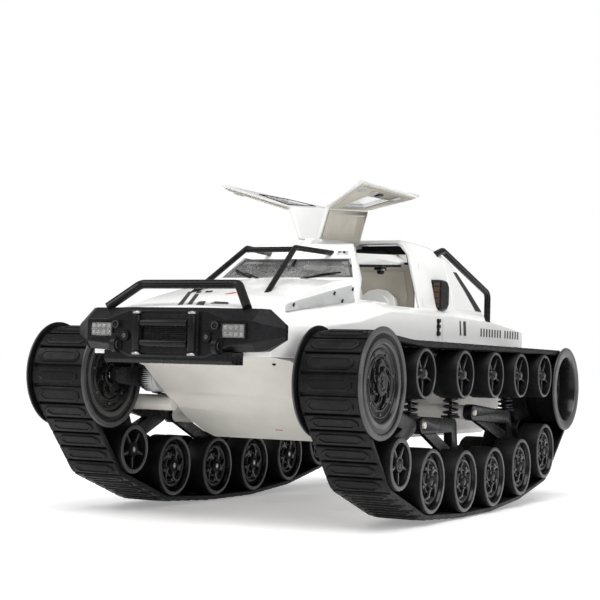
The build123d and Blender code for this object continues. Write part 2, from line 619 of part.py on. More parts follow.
def rear_roll_cage():
    """Roll bars from the roof's rear edge down to the deck, with a cross bar."""
    rail = [(-84.0, 43.0, 180.0), (-98.0, 43.5, 184.0), (-178.0, 50.0, 156.5), (-178.0, 50.0, 130.0)]
    side = tube(rail, 2.5, 6.0)
    cross = disc(-178.0, 152.0, 2.3, -49.0, 49.0)
    return side + mirror(side, Plane.XZ) + cross


# ---------------------------------------------------------------- doors
def door_section(x, thickness):
    """A door's bent section at a station along x, as a face; the bend rises to the rear."""
    bend_z = DOOR_BEND_Z - DOOR_BEND_RISE * (x - 8.0)
    line = [(HINGE_Y, HINGE_Z), (DOOR_BEND_Y, bend_z), (DOOR_TIP_Y, DOOR_TIP_Z)]
    normals = []
    for (ya, za), (yb, zb) in zip(line, line[1:]):
        run = math.hypot(yb - ya, zb - za)
        normals.append((-(zb - za) / run, (yb - ya) / run))
    (ay, az), (by, bz) = normals
    mitre = 1 + ay * by + az * bz
    shifts = [(ay, az), ((ay + by) / mitre, (az + bz) / mitre), (by, bz)]
    half = thickness / 2
    upper = [(x, y + half * sy, z + half * sz) for (y, z), (sy, sz) in zip(line, shifts)]
    lower = [(x, y - half * sy, z - half * sz) for (y, z), (sy, sz) in zip(line, shifts)]
    return make_face(Polyline(upper + lower[::-1], close=True))


def door_sheet(thickness):
    """The door's bent sheet, longer than the door."""
    return loft([door_section(-45.0, thickness), door_section(85.0, thickness)], ruled=True)


def window_block(fit):
    """Upright block through a door's window opening, drawn in by a fit."""
    (x0, x1), (y0, y1) = WINDOW_X, WINDOW_Y
    outline = [(y0 + fit, 190), (y0 + fit, 230), (y1 - fit, 230), (y1 - fit, 190)]
    return slab_x(outline, x0 + fit, x1 - fit)


def door():
    """Left gull-wing door with its hinge barrel and window opening."""
    root, bend, tip = DOOR_FRONT_X
    outline = [(DOOR_REAR_X, HINGE_Z - 5), (root, HINGE_Z - 5), (bend, DOOR_BEND_Z - 2), (tip, DOOR_TIP_Z),
               (tip, DOOR_TIP_Z + 5), (DOOR_REAR_X, DOOR_TIP_Z + 5)]
    panel = door_sheet(DOOR_THICKNESS) & plate(outline, -10, 80)
    window = window_block(0.0)
    hinge = Pos(0, HINGE_Y, HINGE_Z) * Rot(0, 90, 0)
    middle = Pos(sum(HINGE_X) / 2, 0, 0)
    length = HINGE_X[1] - HINGE_X[0]
    panel = panel - window - middle * hinge * Cylinder(HINGE_BARREL_R + 2.5, length + 12.0)
    web = middle * hinge * Cylinder(HINGE_BARREL_R + 3.0, length - 7.0) & door_sheet(DOOR_THICKNESS)
    barrel = Cylinder(HINGE_BARREL_R, length - 6.0) - Cylinder(HINGE_PIN_R + RUN_FIT, length)
    barrel = middle * hinge * barrel
    return panel + (web - middle * hinge * Cylinder(HINGE_BARREL_R - 0.3, length)) + barrel


def door_window():
    """Pane set in the door's window opening."""
    return door_sheet(1.0) & window_block(0.15)


def main():
    os.makedirs("parts", exist_ok=True)
    shell = upper_body_shell()
    bumper = front_bumper()
    fixed = {
        "lower_hull": lower_hull(),
        "upper_body_shell": shell,
        "front_bumper": bumper,
        "bull_bar": bull_bar() - bumper,
        "light_bars": light_bars(),
        "winch_and_tow_eyes": winch_and_tow_eyes(bumper),
        "windshield_glass": windshield_glass() - shell,
        "windshield_guard": largest(windshield_guard() - shell),
        "rear_roll_cage": largest(rear_roll_cage() - shell),
        "cabin_interior": cabin_interior() - shell,
        "drive_units": both_sides(Compound(children=[drive_gearbox(), drive_motor()])),
        "battery_pack": battery_pack(),
        "control_board": control_board(),
        "damper_barrels": both_sides(Compound(children=[damper_barrel(i) for i in range(3)])),
    }
    scoops, vents = air_intakes()
    fixed["air_scoops"] = scoops
    fixed["side_vents"] = vents
    for name, shape in fixed.items():
        save(shape, name)

    track = belt()
    for side, word in ((LEFT, "left"), (RIGHT, "right")):
        save(on_side(track, side), f"track_belt_{word}")
        save(on_side(drive_wheel(), side), f"drive_wheel_{word}")
        save(on_side(rear_wheel(), side), f"rear_idler_{word}")
        save(on_side(door(), side), f"door_{word}")
        save(on_side(door_window(), side), f"door_window_{word}")
        for i, x in enumerate(ROLLER_XS, 1):
            save(on_side(return_roller(x), side), f"return_roller_{word}_{i}")
        lower = [("guide_wheel_" + word, GUIDE_AXLE, GUIDE_R)]
        lower += [(f"road_wheel_{word}_{i}", at, ROAD_R) for i, at in enumerate(ROAD_AXLES, 1)]
        for name, at, radius in lower:
            halves = Compound(children=[s for h in road_wheel(*at, radius) for s in h.solids()])
            save(on_side(halves, side), name)
        for i in range(3):
            save(on_side(swing_arm(i), side), f"swing_arm_{word}_{i + 1}")
            save(on_side(spring(i), side), f"damper_spring_{word}_{i + 1}")


main()
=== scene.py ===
"""Looks of the tracked model vehicle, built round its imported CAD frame.

Metres, in the frame's own axes: +X is the front, +Y the vehicle's left, +Z up, floor at z = 0.
Lengths inside the mesh functions are in millimetres, and piece() scales them once.
"""
import json
import math

import bmesh
import bpy
from mathutils import Matrix, Vector
from mathutils.bvhtree import BVHTree


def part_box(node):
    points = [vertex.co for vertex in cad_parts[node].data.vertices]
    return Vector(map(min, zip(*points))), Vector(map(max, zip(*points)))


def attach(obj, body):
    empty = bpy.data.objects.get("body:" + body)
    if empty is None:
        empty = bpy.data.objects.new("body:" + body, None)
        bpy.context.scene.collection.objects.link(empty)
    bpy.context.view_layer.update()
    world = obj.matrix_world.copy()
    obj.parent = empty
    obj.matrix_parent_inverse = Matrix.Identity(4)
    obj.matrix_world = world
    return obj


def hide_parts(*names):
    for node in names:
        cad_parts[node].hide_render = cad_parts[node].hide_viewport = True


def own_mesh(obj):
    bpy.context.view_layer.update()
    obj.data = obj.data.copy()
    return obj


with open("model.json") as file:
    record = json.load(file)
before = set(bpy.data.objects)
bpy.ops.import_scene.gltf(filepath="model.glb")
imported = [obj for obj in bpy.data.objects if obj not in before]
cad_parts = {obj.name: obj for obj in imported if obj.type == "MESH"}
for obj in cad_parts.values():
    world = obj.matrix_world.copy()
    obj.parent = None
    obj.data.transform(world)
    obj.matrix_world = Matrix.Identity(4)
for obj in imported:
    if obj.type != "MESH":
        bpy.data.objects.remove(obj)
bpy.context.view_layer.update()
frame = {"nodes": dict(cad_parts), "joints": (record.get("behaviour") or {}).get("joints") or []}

MM = 0.001
SIDES = {"left": 1, "right": -1}
JOINTS = {joint["name"]: joint for joint in frame["joints"]}


# ---------------------------------------------------------------- places taken from the frame
def pivot(joint):
    """A joint's place, in millimetres."""
    return Vector(JOINTS[joint]["pos_m"]) / MM


def axle(node):
    """A wheel's axle place, in millimetres."""
    return pivot(node + "_spin")


def radius(node):
    """A wheel's largest radius, in millimetres."""
    low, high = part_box(node)
    return (high.x - low.x) / 2 / MM


def corners(node):
    """A node's lowest and highest corners, in millimetres."""
    low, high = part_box(node)
    return low / MM, high / MM


# ---------------------------------------------------------------- mesh helpers, in millimetres
def turned(x=0.0, y=0.0, z=0.0):
    """A turn about the three axes, in degrees."""
    turn = Matrix.Rotation(math.radians(z), 4, "Z") @ Matrix.Rotation(math.radians(y), 4, "Y")
    return turn @ Matrix.Rotation(math.radians(x), 4, "X")


def add_box(bm, centre, size, turn=Matrix.Identity(4)):
    """A box about a centre."""
    place = Matrix.Translation(centre) @ turn @ Matrix.Diagonal((*size, 1.0))
    bmesh.ops.create_cube(bm, size=1.0, matrix=place)


def add_loops(bm, loops, cap=True, ring=False, open_loops=False):
    """Faces between equal loops of points, capped at both ends or joined in a ring."""
    rows = [[bm.verts.new(p) for p in loop] for loop in loops]
    pairs = list(zip(rows, rows[1:]))
    if ring:
        pairs.append((rows[-1], rows[0]))
    for a, b in pairs:
        for i in range(len(a) - open_loops):
            j = (i + 1) % len(a)
            bm.faces.new((a[i], a[j], b[j], b[i]))
    if cap and not ring:
        bm.faces.new(rows[0][::-1])
        bm.faces.new(rows[-1])


def add_prism(bm, outline, depth, place=Matrix.Identity(4)):
    """A prism: an outline in its own x-y plane, from z = 0 to the depth."""
    loops = [[place @ Vector((x, y, z)) for x, y in outline] for z in (0.0, depth)]
    add_loops(bm, loops)


def add_slab(bm, outline, x0, x1, side=1):
    """A slab between two places along x; its outline is (y, z), on the chosen side."""
    add_loops(bm, [[(x, side * y, z) for y, z in outline] for x in (x0, x1)])


def add_plate(bm, outline, y0, y1, side=1):
    """A plate between two places along y; its outline is (x, z), on the chosen side."""
    add_loops(bm, [[(x, side * y, z) for x, z in outline] for y in (y0, y1)])


def rectangle(x0, x1, z0, z1):
    """Corners of an upright rectangle, as (x, z)."""
    return [(x0, z0), (x1, z0), (x1, z1), (x0, z1)]


def add_lathe(bm, profile, centre=(0, 0, 0), steps=72, axis="Y", closed=True):
    """A profile of (radius, height) points turned about an axis, as a solid ring or an open strip."""
    turns = {"X": turned(z=-90), "Y": Matrix.Identity(4), "Z": turned(x=90)}
    place = Matrix.Translation(centre) @ turns[axis]
    loops = []
    for k in range(steps):
        angle = 2 * math.pi * k / steps
        c, s = math.cos(angle), math.sin(angle)
        loops.append([place @ Vector((r * c, h, r * s)) for r, h in profile])
    add_loops(bm, loops, ring=True, open_loops=not closed)


def add_disc(bm, centre, r, height, axis="Y", steps=32, edge=0.3):
    """A round plate with softened rims, centred on its middle."""
    h = height / 2
    profile = [(0.0, -h), (r - edge, -h), (r, -h + edge), (r, h - edge), (r - edge, h), (0.0, h)]
    add_lathe(bm, profile, centre, steps, axis)


def add_tube(bm, points, r, steps=16, cap=True):
    """A round bar along a list of points."""
    points = [Vector(p) for p in points]
    side = Vector((0.3, 0.5, 0.81))
    loops = []
    for i, point in enumerate(points):
        ahead = (points[min(i + 1, len(points) - 1)] - points[max(i - 1, 0)]).normalized()
        side = (side - ahead * side.dot(ahead)).normalized()
        up = ahead.cross(side)
        loops.append([point + r * (math.cos(a) * side + math.sin(a) * up)
                      for a in (2 * math.pi * k / steps for k in range(steps))])
    add_loops(bm, loops, cap=cap)


def add_hex(bm, centre, across, height, axis="Y"):
    """A six-sided bolt head or nut."""
    r = across / math.sqrt(3)
    h = height / 2
    add_lathe(bm, [(0.0, -h), (r, -h), (r, h - 0.2), (r - 0.3, h), (0.0, h)], centre, 6, axis)


class Build:
    """A mesh in the making. paint() gives its material to every face added since the last call."""

    def __init__(self):
        self.bm = bmesh.new()
        self.materials = []
        self.painted = 0

    def paint(self, material):
        if material not in self.materials:
            self.materials.append(material)
        self.bm.faces.ensure_lookup_table()
        for face in self.bm.faces[self.painted:]:
            face.material_index = self.materials.index(material)
        self.painted = len(self.bm.faces)

    def mesh(self, name):
        """The finished mesh, scaled from millimetres to metres."""
        bm = self.bm
        bmesh.ops.remove_doubles(bm, verts=bm.verts, dist=0.0005)
        bmesh.ops.dissolve_degenerate(bm, edges=bm.edges, dist=0.0005)
        bmesh.ops.recalc_face_normals(bm, faces=bm.faces)
        mesh = bpy.data.meshes.new(name)
        bm.to_mesh(mesh)
        bm.free()
        mesh.transform(Matrix.Scale(MM, 4))
        for material in self.materials:
            mesh.materials.append(material)
        return mesh


def shown(name, mesh, body, replaces=(), bevel=0.0, smooth=40, place=None):
    """Put a mesh in the scene as a piece that rides on a body."""
    obj = bpy.data.objects.new(name, mesh)
    bpy.context.collection.objects.link(obj)
    mesh.polygons.foreach_set("use_smooth", [True] * len(mesh.polygons))
    if bevel:
        edges = obj.modifiers.new("edges", "BEVEL")
        edges.width = bevel * MM
        edges.segments = 2
        edges.limit_method = "ANGLE"
        edges.angle_limit = math.radians(smooth)
        edges.use_clamp_overlap = False
        edges.harden_normals = True
    else:
        mesh.set_sharp_from_angle(angle=math.radians(smooth))
    if place is not None:
        obj.matrix_world = place
    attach(obj, body)
    if replaces:
        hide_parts(*replaces)
    return obj


def piece(name, build, body, replaces=(), bevel=0.0, smooth=40):
    """A finished piece from a build."""
    return shown(name, build.mesh(name), body, replaces, bevel, smooth)


def softened(node, material, body, width, angle=25):
    """A moulded version of a CAD node: the same shape with small rounded edges."""
    build = Build()
    bm = build.bm
    bm.from_mesh(frame["nodes"][node].data)
    bmesh.ops.remove_doubles(bm, verts=bm.verts, dist=1e-6)
    bmesh.ops.dissolve_limit(bm, angle_limit=math.radians(1.0), verts=bm.verts, edges=bm.edges)
    bmesh.ops.scale(bm, vec=(1 / MM,) * 3, verts=bm.verts)
    build.paint(material)
    return piece(node + "_moulded", build, body, (node,), width, angle)


# ---------------------------------------------------------------- materials
def shader(name):
    """A new material with its shader node, its link function and its object coordinates."""
    material = bpy.data.materials.new(name)
    material.use_nodes = True
    nodes, links = material.node_tree.nodes, material.node_tree.links
    surface = nodes["Principled BSDF"]
    place = nodes.new("ShaderNodeTexCoord").outputs["Object"]
    return material, nodes, links, surface, place


def noise_of(nodes, links, place, scale, detail=4.0, rough=0.55):
    """A noise value over the surface."""
    texture = nodes.new("ShaderNodeTexNoise")
    texture.inputs["Scale"].default_value = scale
    texture.inputs["Detail"].default_value = detail
    texture.inputs["Roughness"].default_value = rough
    links.new(place, texture.inputs["Vector"])
    return texture.outputs["Fac"]


def spread(nodes, links, value, low, high, start=0.35, stop=0.65):
    """A value remapped to a range."""
    remap = nodes.new("ShaderNodeMapRange")
    remap.inputs["From Min"].default_value = start
    remap.inputs["From Max"].default_value = stop
    remap.inputs["To Min"].default_value = low
    remap.inputs["To Max"].default_value = high
    links.new(value, remap.inputs["Value"])
    return remap.outputs["Result"]


def blended(nodes, links, share, first, second):
    """One colour fading into another."""
    mix = nodes.new("ShaderNodeMix")
    mix.data_type = "RGBA"
    links.new(share, mix.inputs["Factor"])
    for socket, colour in (("A", first), ("B", second)):
        target = next(s for s in mix.inputs if s.name == socket and s.type == "RGBA")
        if isinstance(colour, tuple):
            target.default_value = (*colour, 1.0)
        else:
            links.new(colour, target)
    return next(s for s in mix.outputs if s.type == "RGBA")


def bumped(nodes, links, height, strength, distance, surface, before=None):
    """Fine relief on a surface; a second layer stands on the first."""
    bump = nodes.new("ShaderNodeBump")
    bump.inputs["Strength"].default_value = strength
    bump.inputs["Distance"].default_value = distance
    links.new(height, bump.inputs["Height"])
    if before is not None:
        links.new(before, bump.inputs["Normal"])
    links.new(bump.outputs["Normal"], surface.inputs["Normal"])
    return bump.outputs["Normal"]


def moulded(name, base, worn, rough, grain=2600.0, relief=0.12, coat=0.0, patch=60.0, wave=0.06,
            specular=0.5):
    """Moulded plastic: two close tones in soft patches, a fine grain and uneven gloss."""
    material, nodes, links, surface, place = shader(name)
    cloud = noise_of(nodes, links, place, patch)
    fine = noise_of(nodes, links, place, grain, 2.0)
    share = spread(nodes, links, cloud, 0.0, 1.0)
    links.new(blended(nodes, links, share, base, worn), surface.inputs["Base Color"])
    gloss = noise_of(nodes, links, place, patch * 5, 5.0)
    links.new(spread(nodes, links, gloss, rough[0], rough[1]), surface.inputs["Roughness"])
    surface.inputs["Specular IOR Level"].default_value = specular
    surface.inputs["Coat Weight"].default_value = coat
    surface.inputs["Coat Roughness"].default_value = 0.12
    under = bumped(nodes, links, fine, relief, 0.00006, surface)
    swell = noise_of(nodes, links, place, patch * 2, 2.0)
    bumped(nodes, links, swell, wave, 0.0004, surface, under)
    return material


def rubber(name, base, dust, rough):
    """Black rubber with a pale bloom and gloss that varies in patches."""
    material, nodes, links, surface, place = shader(name)
    cloud = noise_of(nodes, links, place, 90.0, 6.0, 0.65)
    share = spread(nodes, links, cloud, 0.0, 1.0, 0.45, 0.75)
    links.new(blended(nodes, links, share, base, dust), surface.inputs["Base Color"])
    gloss = noise_of(nodes, links, place, 300.0, 4.0)
    links.new(spread(nodes, links, gloss, rough[0], rough[1]), surface.inputs["Roughness"])
    surface.inputs["Specular IOR Level"].default_value = 0.15
    fine = noise_of(nodes, links, place, 1800.0, 3.0)
    under = bumped(nodes, links, fine, 0.25, 0.0001, surface)
    scuffs = noise_of(nodes, links, place, 420.0, 5.0, 0.7)
    bumped(nodes, links, scuffs, 0.15, 0.0002, surface, under)
    return material


def metal(name, base, rough, relief=0.1):
    """Plain metal with fine scratches in its gloss."""
    material, nodes, links, surface, place = shader(name)
    surface.inputs["Metallic"].default_value = 1.0
    cloud = noise_of(nodes, links, place, 400.0, 6.0, 0.7)
    darker = tuple(c * 0.72 for c in base)
    share = spread(nodes, links, cloud, 0.0, 1.0)
    links.new(blended(nodes, links, share, base, darker), surface.inputs["Base Color"])
    links.new(spread(nodes, links, cloud, rough[0], rough[1]), surface.inputs["Roughness"])
    fine = noise_of(nodes, links, place, 3000.0, 2.0)
    bumped(nodes, links, fine, relief, 0.00005, surface)
    return material


def clear(name, tint, rough, through, opacity=1.0):
    """Clear moulded sheet or lens, faintly uneven."""
    material, nodes, links, surface, place = shader(name)
    cloud = noise_of(nodes, links, place, 120.0, 3.0)
    share = spread(nodes, links, cloud, 0.0, 1.0)
    tinted = tuple(c * 0.93 for c in tint)
    links.new(blended(nodes, links, share, tint, tinted), surface.inputs["Base Color"])
    links.new(spread(nodes, links, cloud, rough, rough * 1.8), surface.inputs["Roughness"])
    surface.inputs["Transmission Weight"].default_value = through
    surface.inputs["IOR"].default_value = 1.46
    surface.inputs["Alpha"].default_value = opacity
    wave = noise_of(nodes, links, place, 60.0, 2.0)
    bumped(nodes, links, wave, 0.05, 0.0003, surface)
    return material


WHITE = moulded("white_body", (0.88, 0.88, 0.87), (0.86, 0.86, 0.85), (0.16, 0.24),
                1800, 0.02, 0.3, wave=0.01)
# Lower hull plastic, painted darker than the white body: painted shade on the bow, which faces down and
# forward.
TUB_SHADED = moulded("tub_plastic_painted_shade", (0.66, 0.64, 0.595), (0.62, 0.60, 0.555), (0.34, 0.44),
              2200, 0.06, 0.1, wave=0.02)
CREAM = moulded("cream_trim", (0.62, 0.585, 0.51), (0.56, 0.525, 0.45), (0.45, 0.6), 1500, 0.12, wave=0.03)
GREY = moulded("grey_panel", (0.47, 0.475, 0.475), (0.43, 0.435, 0.435), (0.3, 0.42), 2200, 0.08, wave=0.02)
DARK = moulded("black_trim", (0.0055, 0.0055, 0.006), (0.010, 0.010, 0.011), (0.22, 0.36),
               2400, 0.08, specular=0.16)
SATIN = moulded("wheel_face", (0.006, 0.006, 0.0065), (0.011, 0.011, 0.012), (0.16, 0.28),
                2600, 0.06, specular=0.24)
# Lighter grey for raised rims, rings, spoke tops, studs and bolt heads on black parts: painted highlight.
EDGE_HIGHLIGHT = moulded("painted_edge_highlight", (0.035, 0.035, 0.037), (0.055, 0.055, 0.057), (0.28, 0.4), 2600, 0.12)
# Near-black for the floors of wheel wells and deep recesses: painted shade.
RECESS_SHADE = moulded("painted_recess_shade", (0.002, 0.002, 0.002), (0.004, 0.004, 0.004), (0.5, 0.65),
               2600, 0.15, specular=0.1)
BAR = moulded("bar_coating", (0.005, 0.005, 0.0055), (0.009, 0.009, 0.0095), (0.2, 0.32),
              3200, 0.08, specular=0.2)
PRINT = moulded("black_print", (0.012, 0.012, 0.012), (0.02, 0.02, 0.02), (0.4, 0.5), 2600, 0.05, wave=0.0)
GASKET = moulded("window_seal", (0.05, 0.05, 0.052), (0.075, 0.075, 0.077), (0.5, 0.6), 2600, 0.1)
# Dark lining under the roof: a dark headliner, and painted shade on the white shell's faces there that face
# inwards or down.
LINER_AND_SHADE = moulded("headliner_and_painted_shade", (0.006, 0.0065, 0.006), (0.010, 0.011, 0.010), (0.6, 0.75),
                1600, 0.2, specular=0.2)
PANEL = moulded("headliner_panel", (0.028, 0.031, 0.028), (0.036, 0.039, 0.036), (0.6, 0.7),
                1600, 0.2, specular=0.2)
LAMP_BACK = moulded("lamp_reflector", (0.16, 0.16, 0.155), (0.22, 0.22, 0.21), (0.2, 0.3), 2600, 0.1)
RUBBER = rubber("track_rubber", (0.004, 0.004, 0.0045), (0.012, 0.012, 0.0125), (0.34, 0.52))
TYRE = rubber("tyre_rubber", (0.003, 0.003, 0.0033), (0.008, 0.008, 0.008), (0.42, 0.6))
STEEL = metal("bright_steel", (0.72, 0.72, 0.71), (0.16, 0.3))
SHINE = metal("worn_edge_steel", (0.42, 0.42, 0.42), (0.2, 0.34))
WIRE = metal("spring_wire", (0.05, 0.05, 0.053), (0.24, 0.38))
GLASS = clear("window_sheet", (0.66, 0.68, 0.69), 0.04, 0.8, 0.34)
LENS = clear("lamp_lens", (0.93, 0.94, 0.93), 0.06, 0.9)
AMBER = moulded("mouth_amber", (0.075, 0.035, 0.014), (0.045, 0.022, 0.010), (0.35, 0.5), 2600, 0.2)
RED = moulded("red_mark", (0.45, 0.012, 0.018), (0.38, 0.012, 0.015), (0.3, 0.4))
BLUE = moulded("cell_wrap", (0.03, 0.06, 0.14), (0.025, 0.05, 0.12), (0.2, 0.32), 900, 0.1, 0.3)


# ---------------------------------------------------------------- track belts
TRACK_MID = 92.5
HALF_WIDTH = 21.5             # of a wheel, from the middle of its track
FLANGE_LIP = 6.4              # how far the end wheels' flanges stand above their drums
BELT_GAP = 0.35
BELT_TOP = BELT_GAP + 2.5     # outer skin of the carcass, above the wheels
TREAD_TOP = BELT_TOP + 1.55
LINKS = 74


def belt_spans():
    """The outer skin's path: arcs (x, z, signed radius, from, to) and straights (start, end, angle)."""
    drive, rear = axle("drive_wheel_left"), axle("rear_idler_left")
    first = axle("return_roller_left_1")
    lower = ["guide_wheel_left"] + [f"road_wheel_left_{i}" for i in range(1, 6)]
    sag = 130.0
    circles = [(drive, radius("drive_wheel_left") - FLANGE_LIP, 1)]
    circles += [(axle(node), radius(node), 1) for node in lower]
    circles.append((rear, radius("rear_idler_left") - FLANGE_LIP, 1))
    crest = first.z + radius("return_roller_left_1") + BELT_GAP
    circles.append((Vector((first.x, 0, crest + sag)), sag, -1))
    rounds = [(c.x, c.z, s * (r + s * BELT_TOP)) for c, r, s in circles]
    normals = []
    for (ax, az, ar), (bx, bz, br) in zip(rounds, rounds[1:] + rounds[:1]):
        span = math.hypot(bx - ax, bz - az)
        normals.append(math.atan2(bz - az, bx - ax) + math.acos((ar - br) / span))
    arcs = []
    for (x, z, r), start, end in zip(rounds, normals[-1:] + normals[:-1], normals):
        swing = math.remainder(end - start, 2 * math.pi)
        if r > 0 and swing > 0:
            swing -= 2 * math.pi
        arcs.append((x, z, r, start, start + swing))
    spans = []
    for (x, z, r, a, b), (nx, nz, nr, na, _) in zip(arcs, arcs[1:] + arcs[:1]):
        start = (x + r * math.cos(b), z + r * math.sin(b))
        end = (nx + nr * math.cos(na), nz + nr * math.sin(na))
        spans.append((abs(r * (b - a)), (x, z, r, a, b)))
        spans.append((math.dist(start, end), (start, end, b)))
    return spans


BELT_SPANS = belt_spans()
BELT_LENGTH = sum(length for length, _ in BELT_SPANS)
PITCH = BELT_LENGTH / LINKS


def belt_point(s, v, n):
    """A point of the belt: s along it, v across from its middle, n above the wheels."""
    s %= BELT_LENGTH
    for length, span in BELT_SPANS:
        if s <= length:
            break
        s -= length
    share = s / length
    if len(span) == 5:
        x, z, r, a, b = span
        angle = a + share * (b - a)
        x, z = x + r * math.cos(angle), z + r * math.sin(angle)
    else:
        (ax, az), (bx, bz), angle = span
        x, z = ax + share * (bx - ax), az + share * (bz - az)
    rise = n - BELT_TOP
    return Vector((x + rise * math.cos(angle), v, z + rise * math.sin(angle)))


def add_tread_plate(bm, middle):
    """One link's full-width plate, with sloping ends."""
    low, edge, top = BELT_TOP - 1.3, BELT_TOP + 0.35, BELT_TOP + 0.75
    loops = []
    for share in (-0.43, -0.39, -0.2, 0.0, 0.2, 0.39, 0.43):
        drop = 0.45 if abs(share) > 0.4 else 0.0
        section = [(-18.7, low), (-18.7, edge - drop), (-18.1, top - drop), (-6.0, top - drop),
                   (6.0, top - drop), (18.1, top - drop), (18.7, edge - drop), (18.7, low)]
        loops.append([belt_point(middle + share * PITCH, v, n) for v, n in section])
    add_loops(bm, loops)


def octagon(half_s, half_v, cut):
    """An eight-sided outline with extra points on its long sides, as (s, v)."""
    s, v = half_s, half_v
    right = [(-s, v - cut), (-s + cut * 0.8, v), (0.0, v), (s - cut * 0.8, v), (s, v - cut)]
    left = [(-a, -b) for a, b in right]
    return right + [(s, 0.0)] + left + [(-s, 0.0)]


def add_tread_pad(bm, middle):
    """A raised eight-sided pad with a sunk panel."""
    top = TREAD_TOP
    levels = [((0.33 * PITCH, 15.2, 3.2), BELT_TOP + 0.6), ((0.30 * PITCH, 14.7, 3.0), top - 0.1),
              ((0.28 * PITCH, 14.4, 2.9), top), ((0.20 * PITCH, 13.2, 2.4), top),
              ((0.18 * PITCH, 12.8, 2.3), top - 0.55)]
    loops = [[belt_point(middle + s, v, n) for s, v in octagon(*size)] for size, n in levels]
    add_loops(bm, loops)


def add_guide_lug(bm, middle):
    """A tapered lug on the belt's inner side, which runs in the wheels' grooves."""
    levels = [(0.24, 2.2, BELT_GAP + 0.3), (0.21, 2.1, BELT_GAP - 2.0), (0.12, 1.5, BELT_GAP - 3.5)]
    loops = [[belt_point(middle + a * share * PITCH, b * half, n) for a, b in
              ((-1, -1), (-1, 1), (1, 1), (1, -1))] for share, half, n in levels]
    add_loops(bm, loops)


def track_belt(word):
    """A rubber track: carcass with thick edges, tread plates, pads and guide lugs."""
    build = Build()
    section = [(-18.4, BELT_GAP), (-19.0, BELT_GAP + 0.5), (-19.0, BELT_TOP - 0.2), (-18.7, BELT_TOP + 0.1),
               (-17.4, BELT_TOP + 0.1), (-17.0, BELT_TOP - 1.0), (17.0, BELT_TOP - 1.0),
               (17.4, BELT_TOP + 0.1), (18.7, BELT_TOP + 0.1), (19.0, BELT_TOP - 0.2),
               (19.0, BELT_GAP + 0.5), (18.4, BELT_GAP)]
    steps = LINKS * 5
    loops = [[belt_point(k * BELT_LENGTH / steps, v, n) for v, n in section] for k in range(steps)]
    add_loops(build.bm, loops, ring=True)
    for k in range(LINKS):
        add_tread_plate(build.bm, k * PITCH)
        add_tread_pad(build.bm, k * PITCH)
        add_guide_lug(build.bm, k * PITCH)
    bmesh.ops.translate(build.bm, vec=(0, SIDES[word] * TRACK_MID, 0), verts=build.bm.verts)
    build.paint(RUBBER)
    node = "track_belt_" + word
    return piece(node + "_treaded", build, "root", (node,), smooth=28)


# ---------------------------------------------------------------- wheels, about their own axle
ACROSS = Matrix(((1, 0, 0, 0), (0, 0, 1, 0), (0, 1, 0, 0), (0, 0, 0, 1)))   # outline plane to wheel face


def blade(r0, r1, w0, w1, swirl, steps=6):
    """Outline of one spoke between two radii, leaning round by a swirl in degrees."""
    left, right = [], []
    for k in range(steps + 1):
        t = k / steps
        r = r0 + t * (r1 - r0)
        lean = math.radians(swirl) * t * t
        half = math.asin(min(1.0, (w0 + t * (w1 - w0)) / 2 / r))
        left.append((r * math.cos(lean + half), r * math.sin(lean + half)))
        right.append((r * math.cos(lean - half), r * math.sin(lean - half)))
    return left + right[::-1]


def add_spokes(bm, count, outline, y0, y1, start=90.0):
    """Equal spokes round an axle, between two heights on it."""
    for k in range(count):
        turn = turned(y=start + k * 360.0 / count)
        add_prism(bm, outline, y1 - y0, turn @ Matrix.Translation((0, y0, 0)) @ ACROSS)


def add_studs(bm, count, ring_r, r, y0, y1, start=0.0):
    """Small round studs on a circle."""
    for k in range(count):
        angle = math.radians(start + k * 360.0 / count)
        centre = (ring_r * math.cos(angle), (y0 + y1) / 2, ring_r * math.sin(angle))
        add_disc(bm, centre, r, y1 - y0, steps=14, edge=0.2)


def mirrored(build):
    """Add the other half of a wheel, mirrored across the middle of its track."""
    bm = build.bm
    copied = bmesh.ops.duplicate(bm, geom=bm.verts[:] + bm.edges[:] + bm.faces[:])["geom"]
    verts = [item for item in copied if isinstance(item, bmesh.types.BMVert)]
    bmesh.ops.scale(bm, vec=(1, -1, 1), verts=verts)
    build.painted = len(bm.faces)


def barrel(build, r, groove, rim_width, well, floor_y, inner_r):
    """A wheel half's tyre, its rim edge, and the well inside it down to a web."""
    bm, y = build.bm, HALF_WIDTH
    add_lathe(bm, [(1.8, 3.4), (r - groove, 3.4), (r - groove, 4.8), (r - 0.4, 4.8), (r, 5.2), (r, 7.2),
                   (r - 0.25, 7.5), (r, 7.8), (r, y - 1.1), (r - 0.3, y - 0.5)], closed=False)
    build.paint(TYRE)
    # The rim's lip in lighter grey: painted highlight.
    add_lathe(bm, [(r - 0.3, y - 0.5), (r - 0.7, y - 0.1), (r - 1.0, y), (r - rim_width, y),
                   (r - rim_width - 0.4, y - 0.4)], closed=False)
    build.paint(EDGE_HIGHLIGHT)
    add_lathe(bm, [(r - rim_width - 0.4, y - 0.4), (r - rim_width - 0.5, y - 1.4), (r - well, y - 1.9),
                   (r - well - 0.3, floor_y + 0.6), (r - well - 0.9, floor_y)], closed=False)
    build.paint(SATIN)
    # The well's floor and the web down to the axle are near-black: painted shade in the recess.
    add_lathe(bm, [(r - well - 0.9, floor_y), (inner_r, floor_y)], closed=False)
    add_lathe(bm, [(inner_r, floor_y), (1.8, floor_y), (1.8, 3.4)], closed=False)
    build.paint(RECESS_SHADE)


def add_inner_cap(build):
    """A bright domed nut on a wheel's inner end."""
    add_lathe(build.bm, [(0.0, -20.9), (1.5, -20.7), (2.5, -19.9), (2.8, -18.6), (0.0, -18.6)])
    build.paint(STEEL)


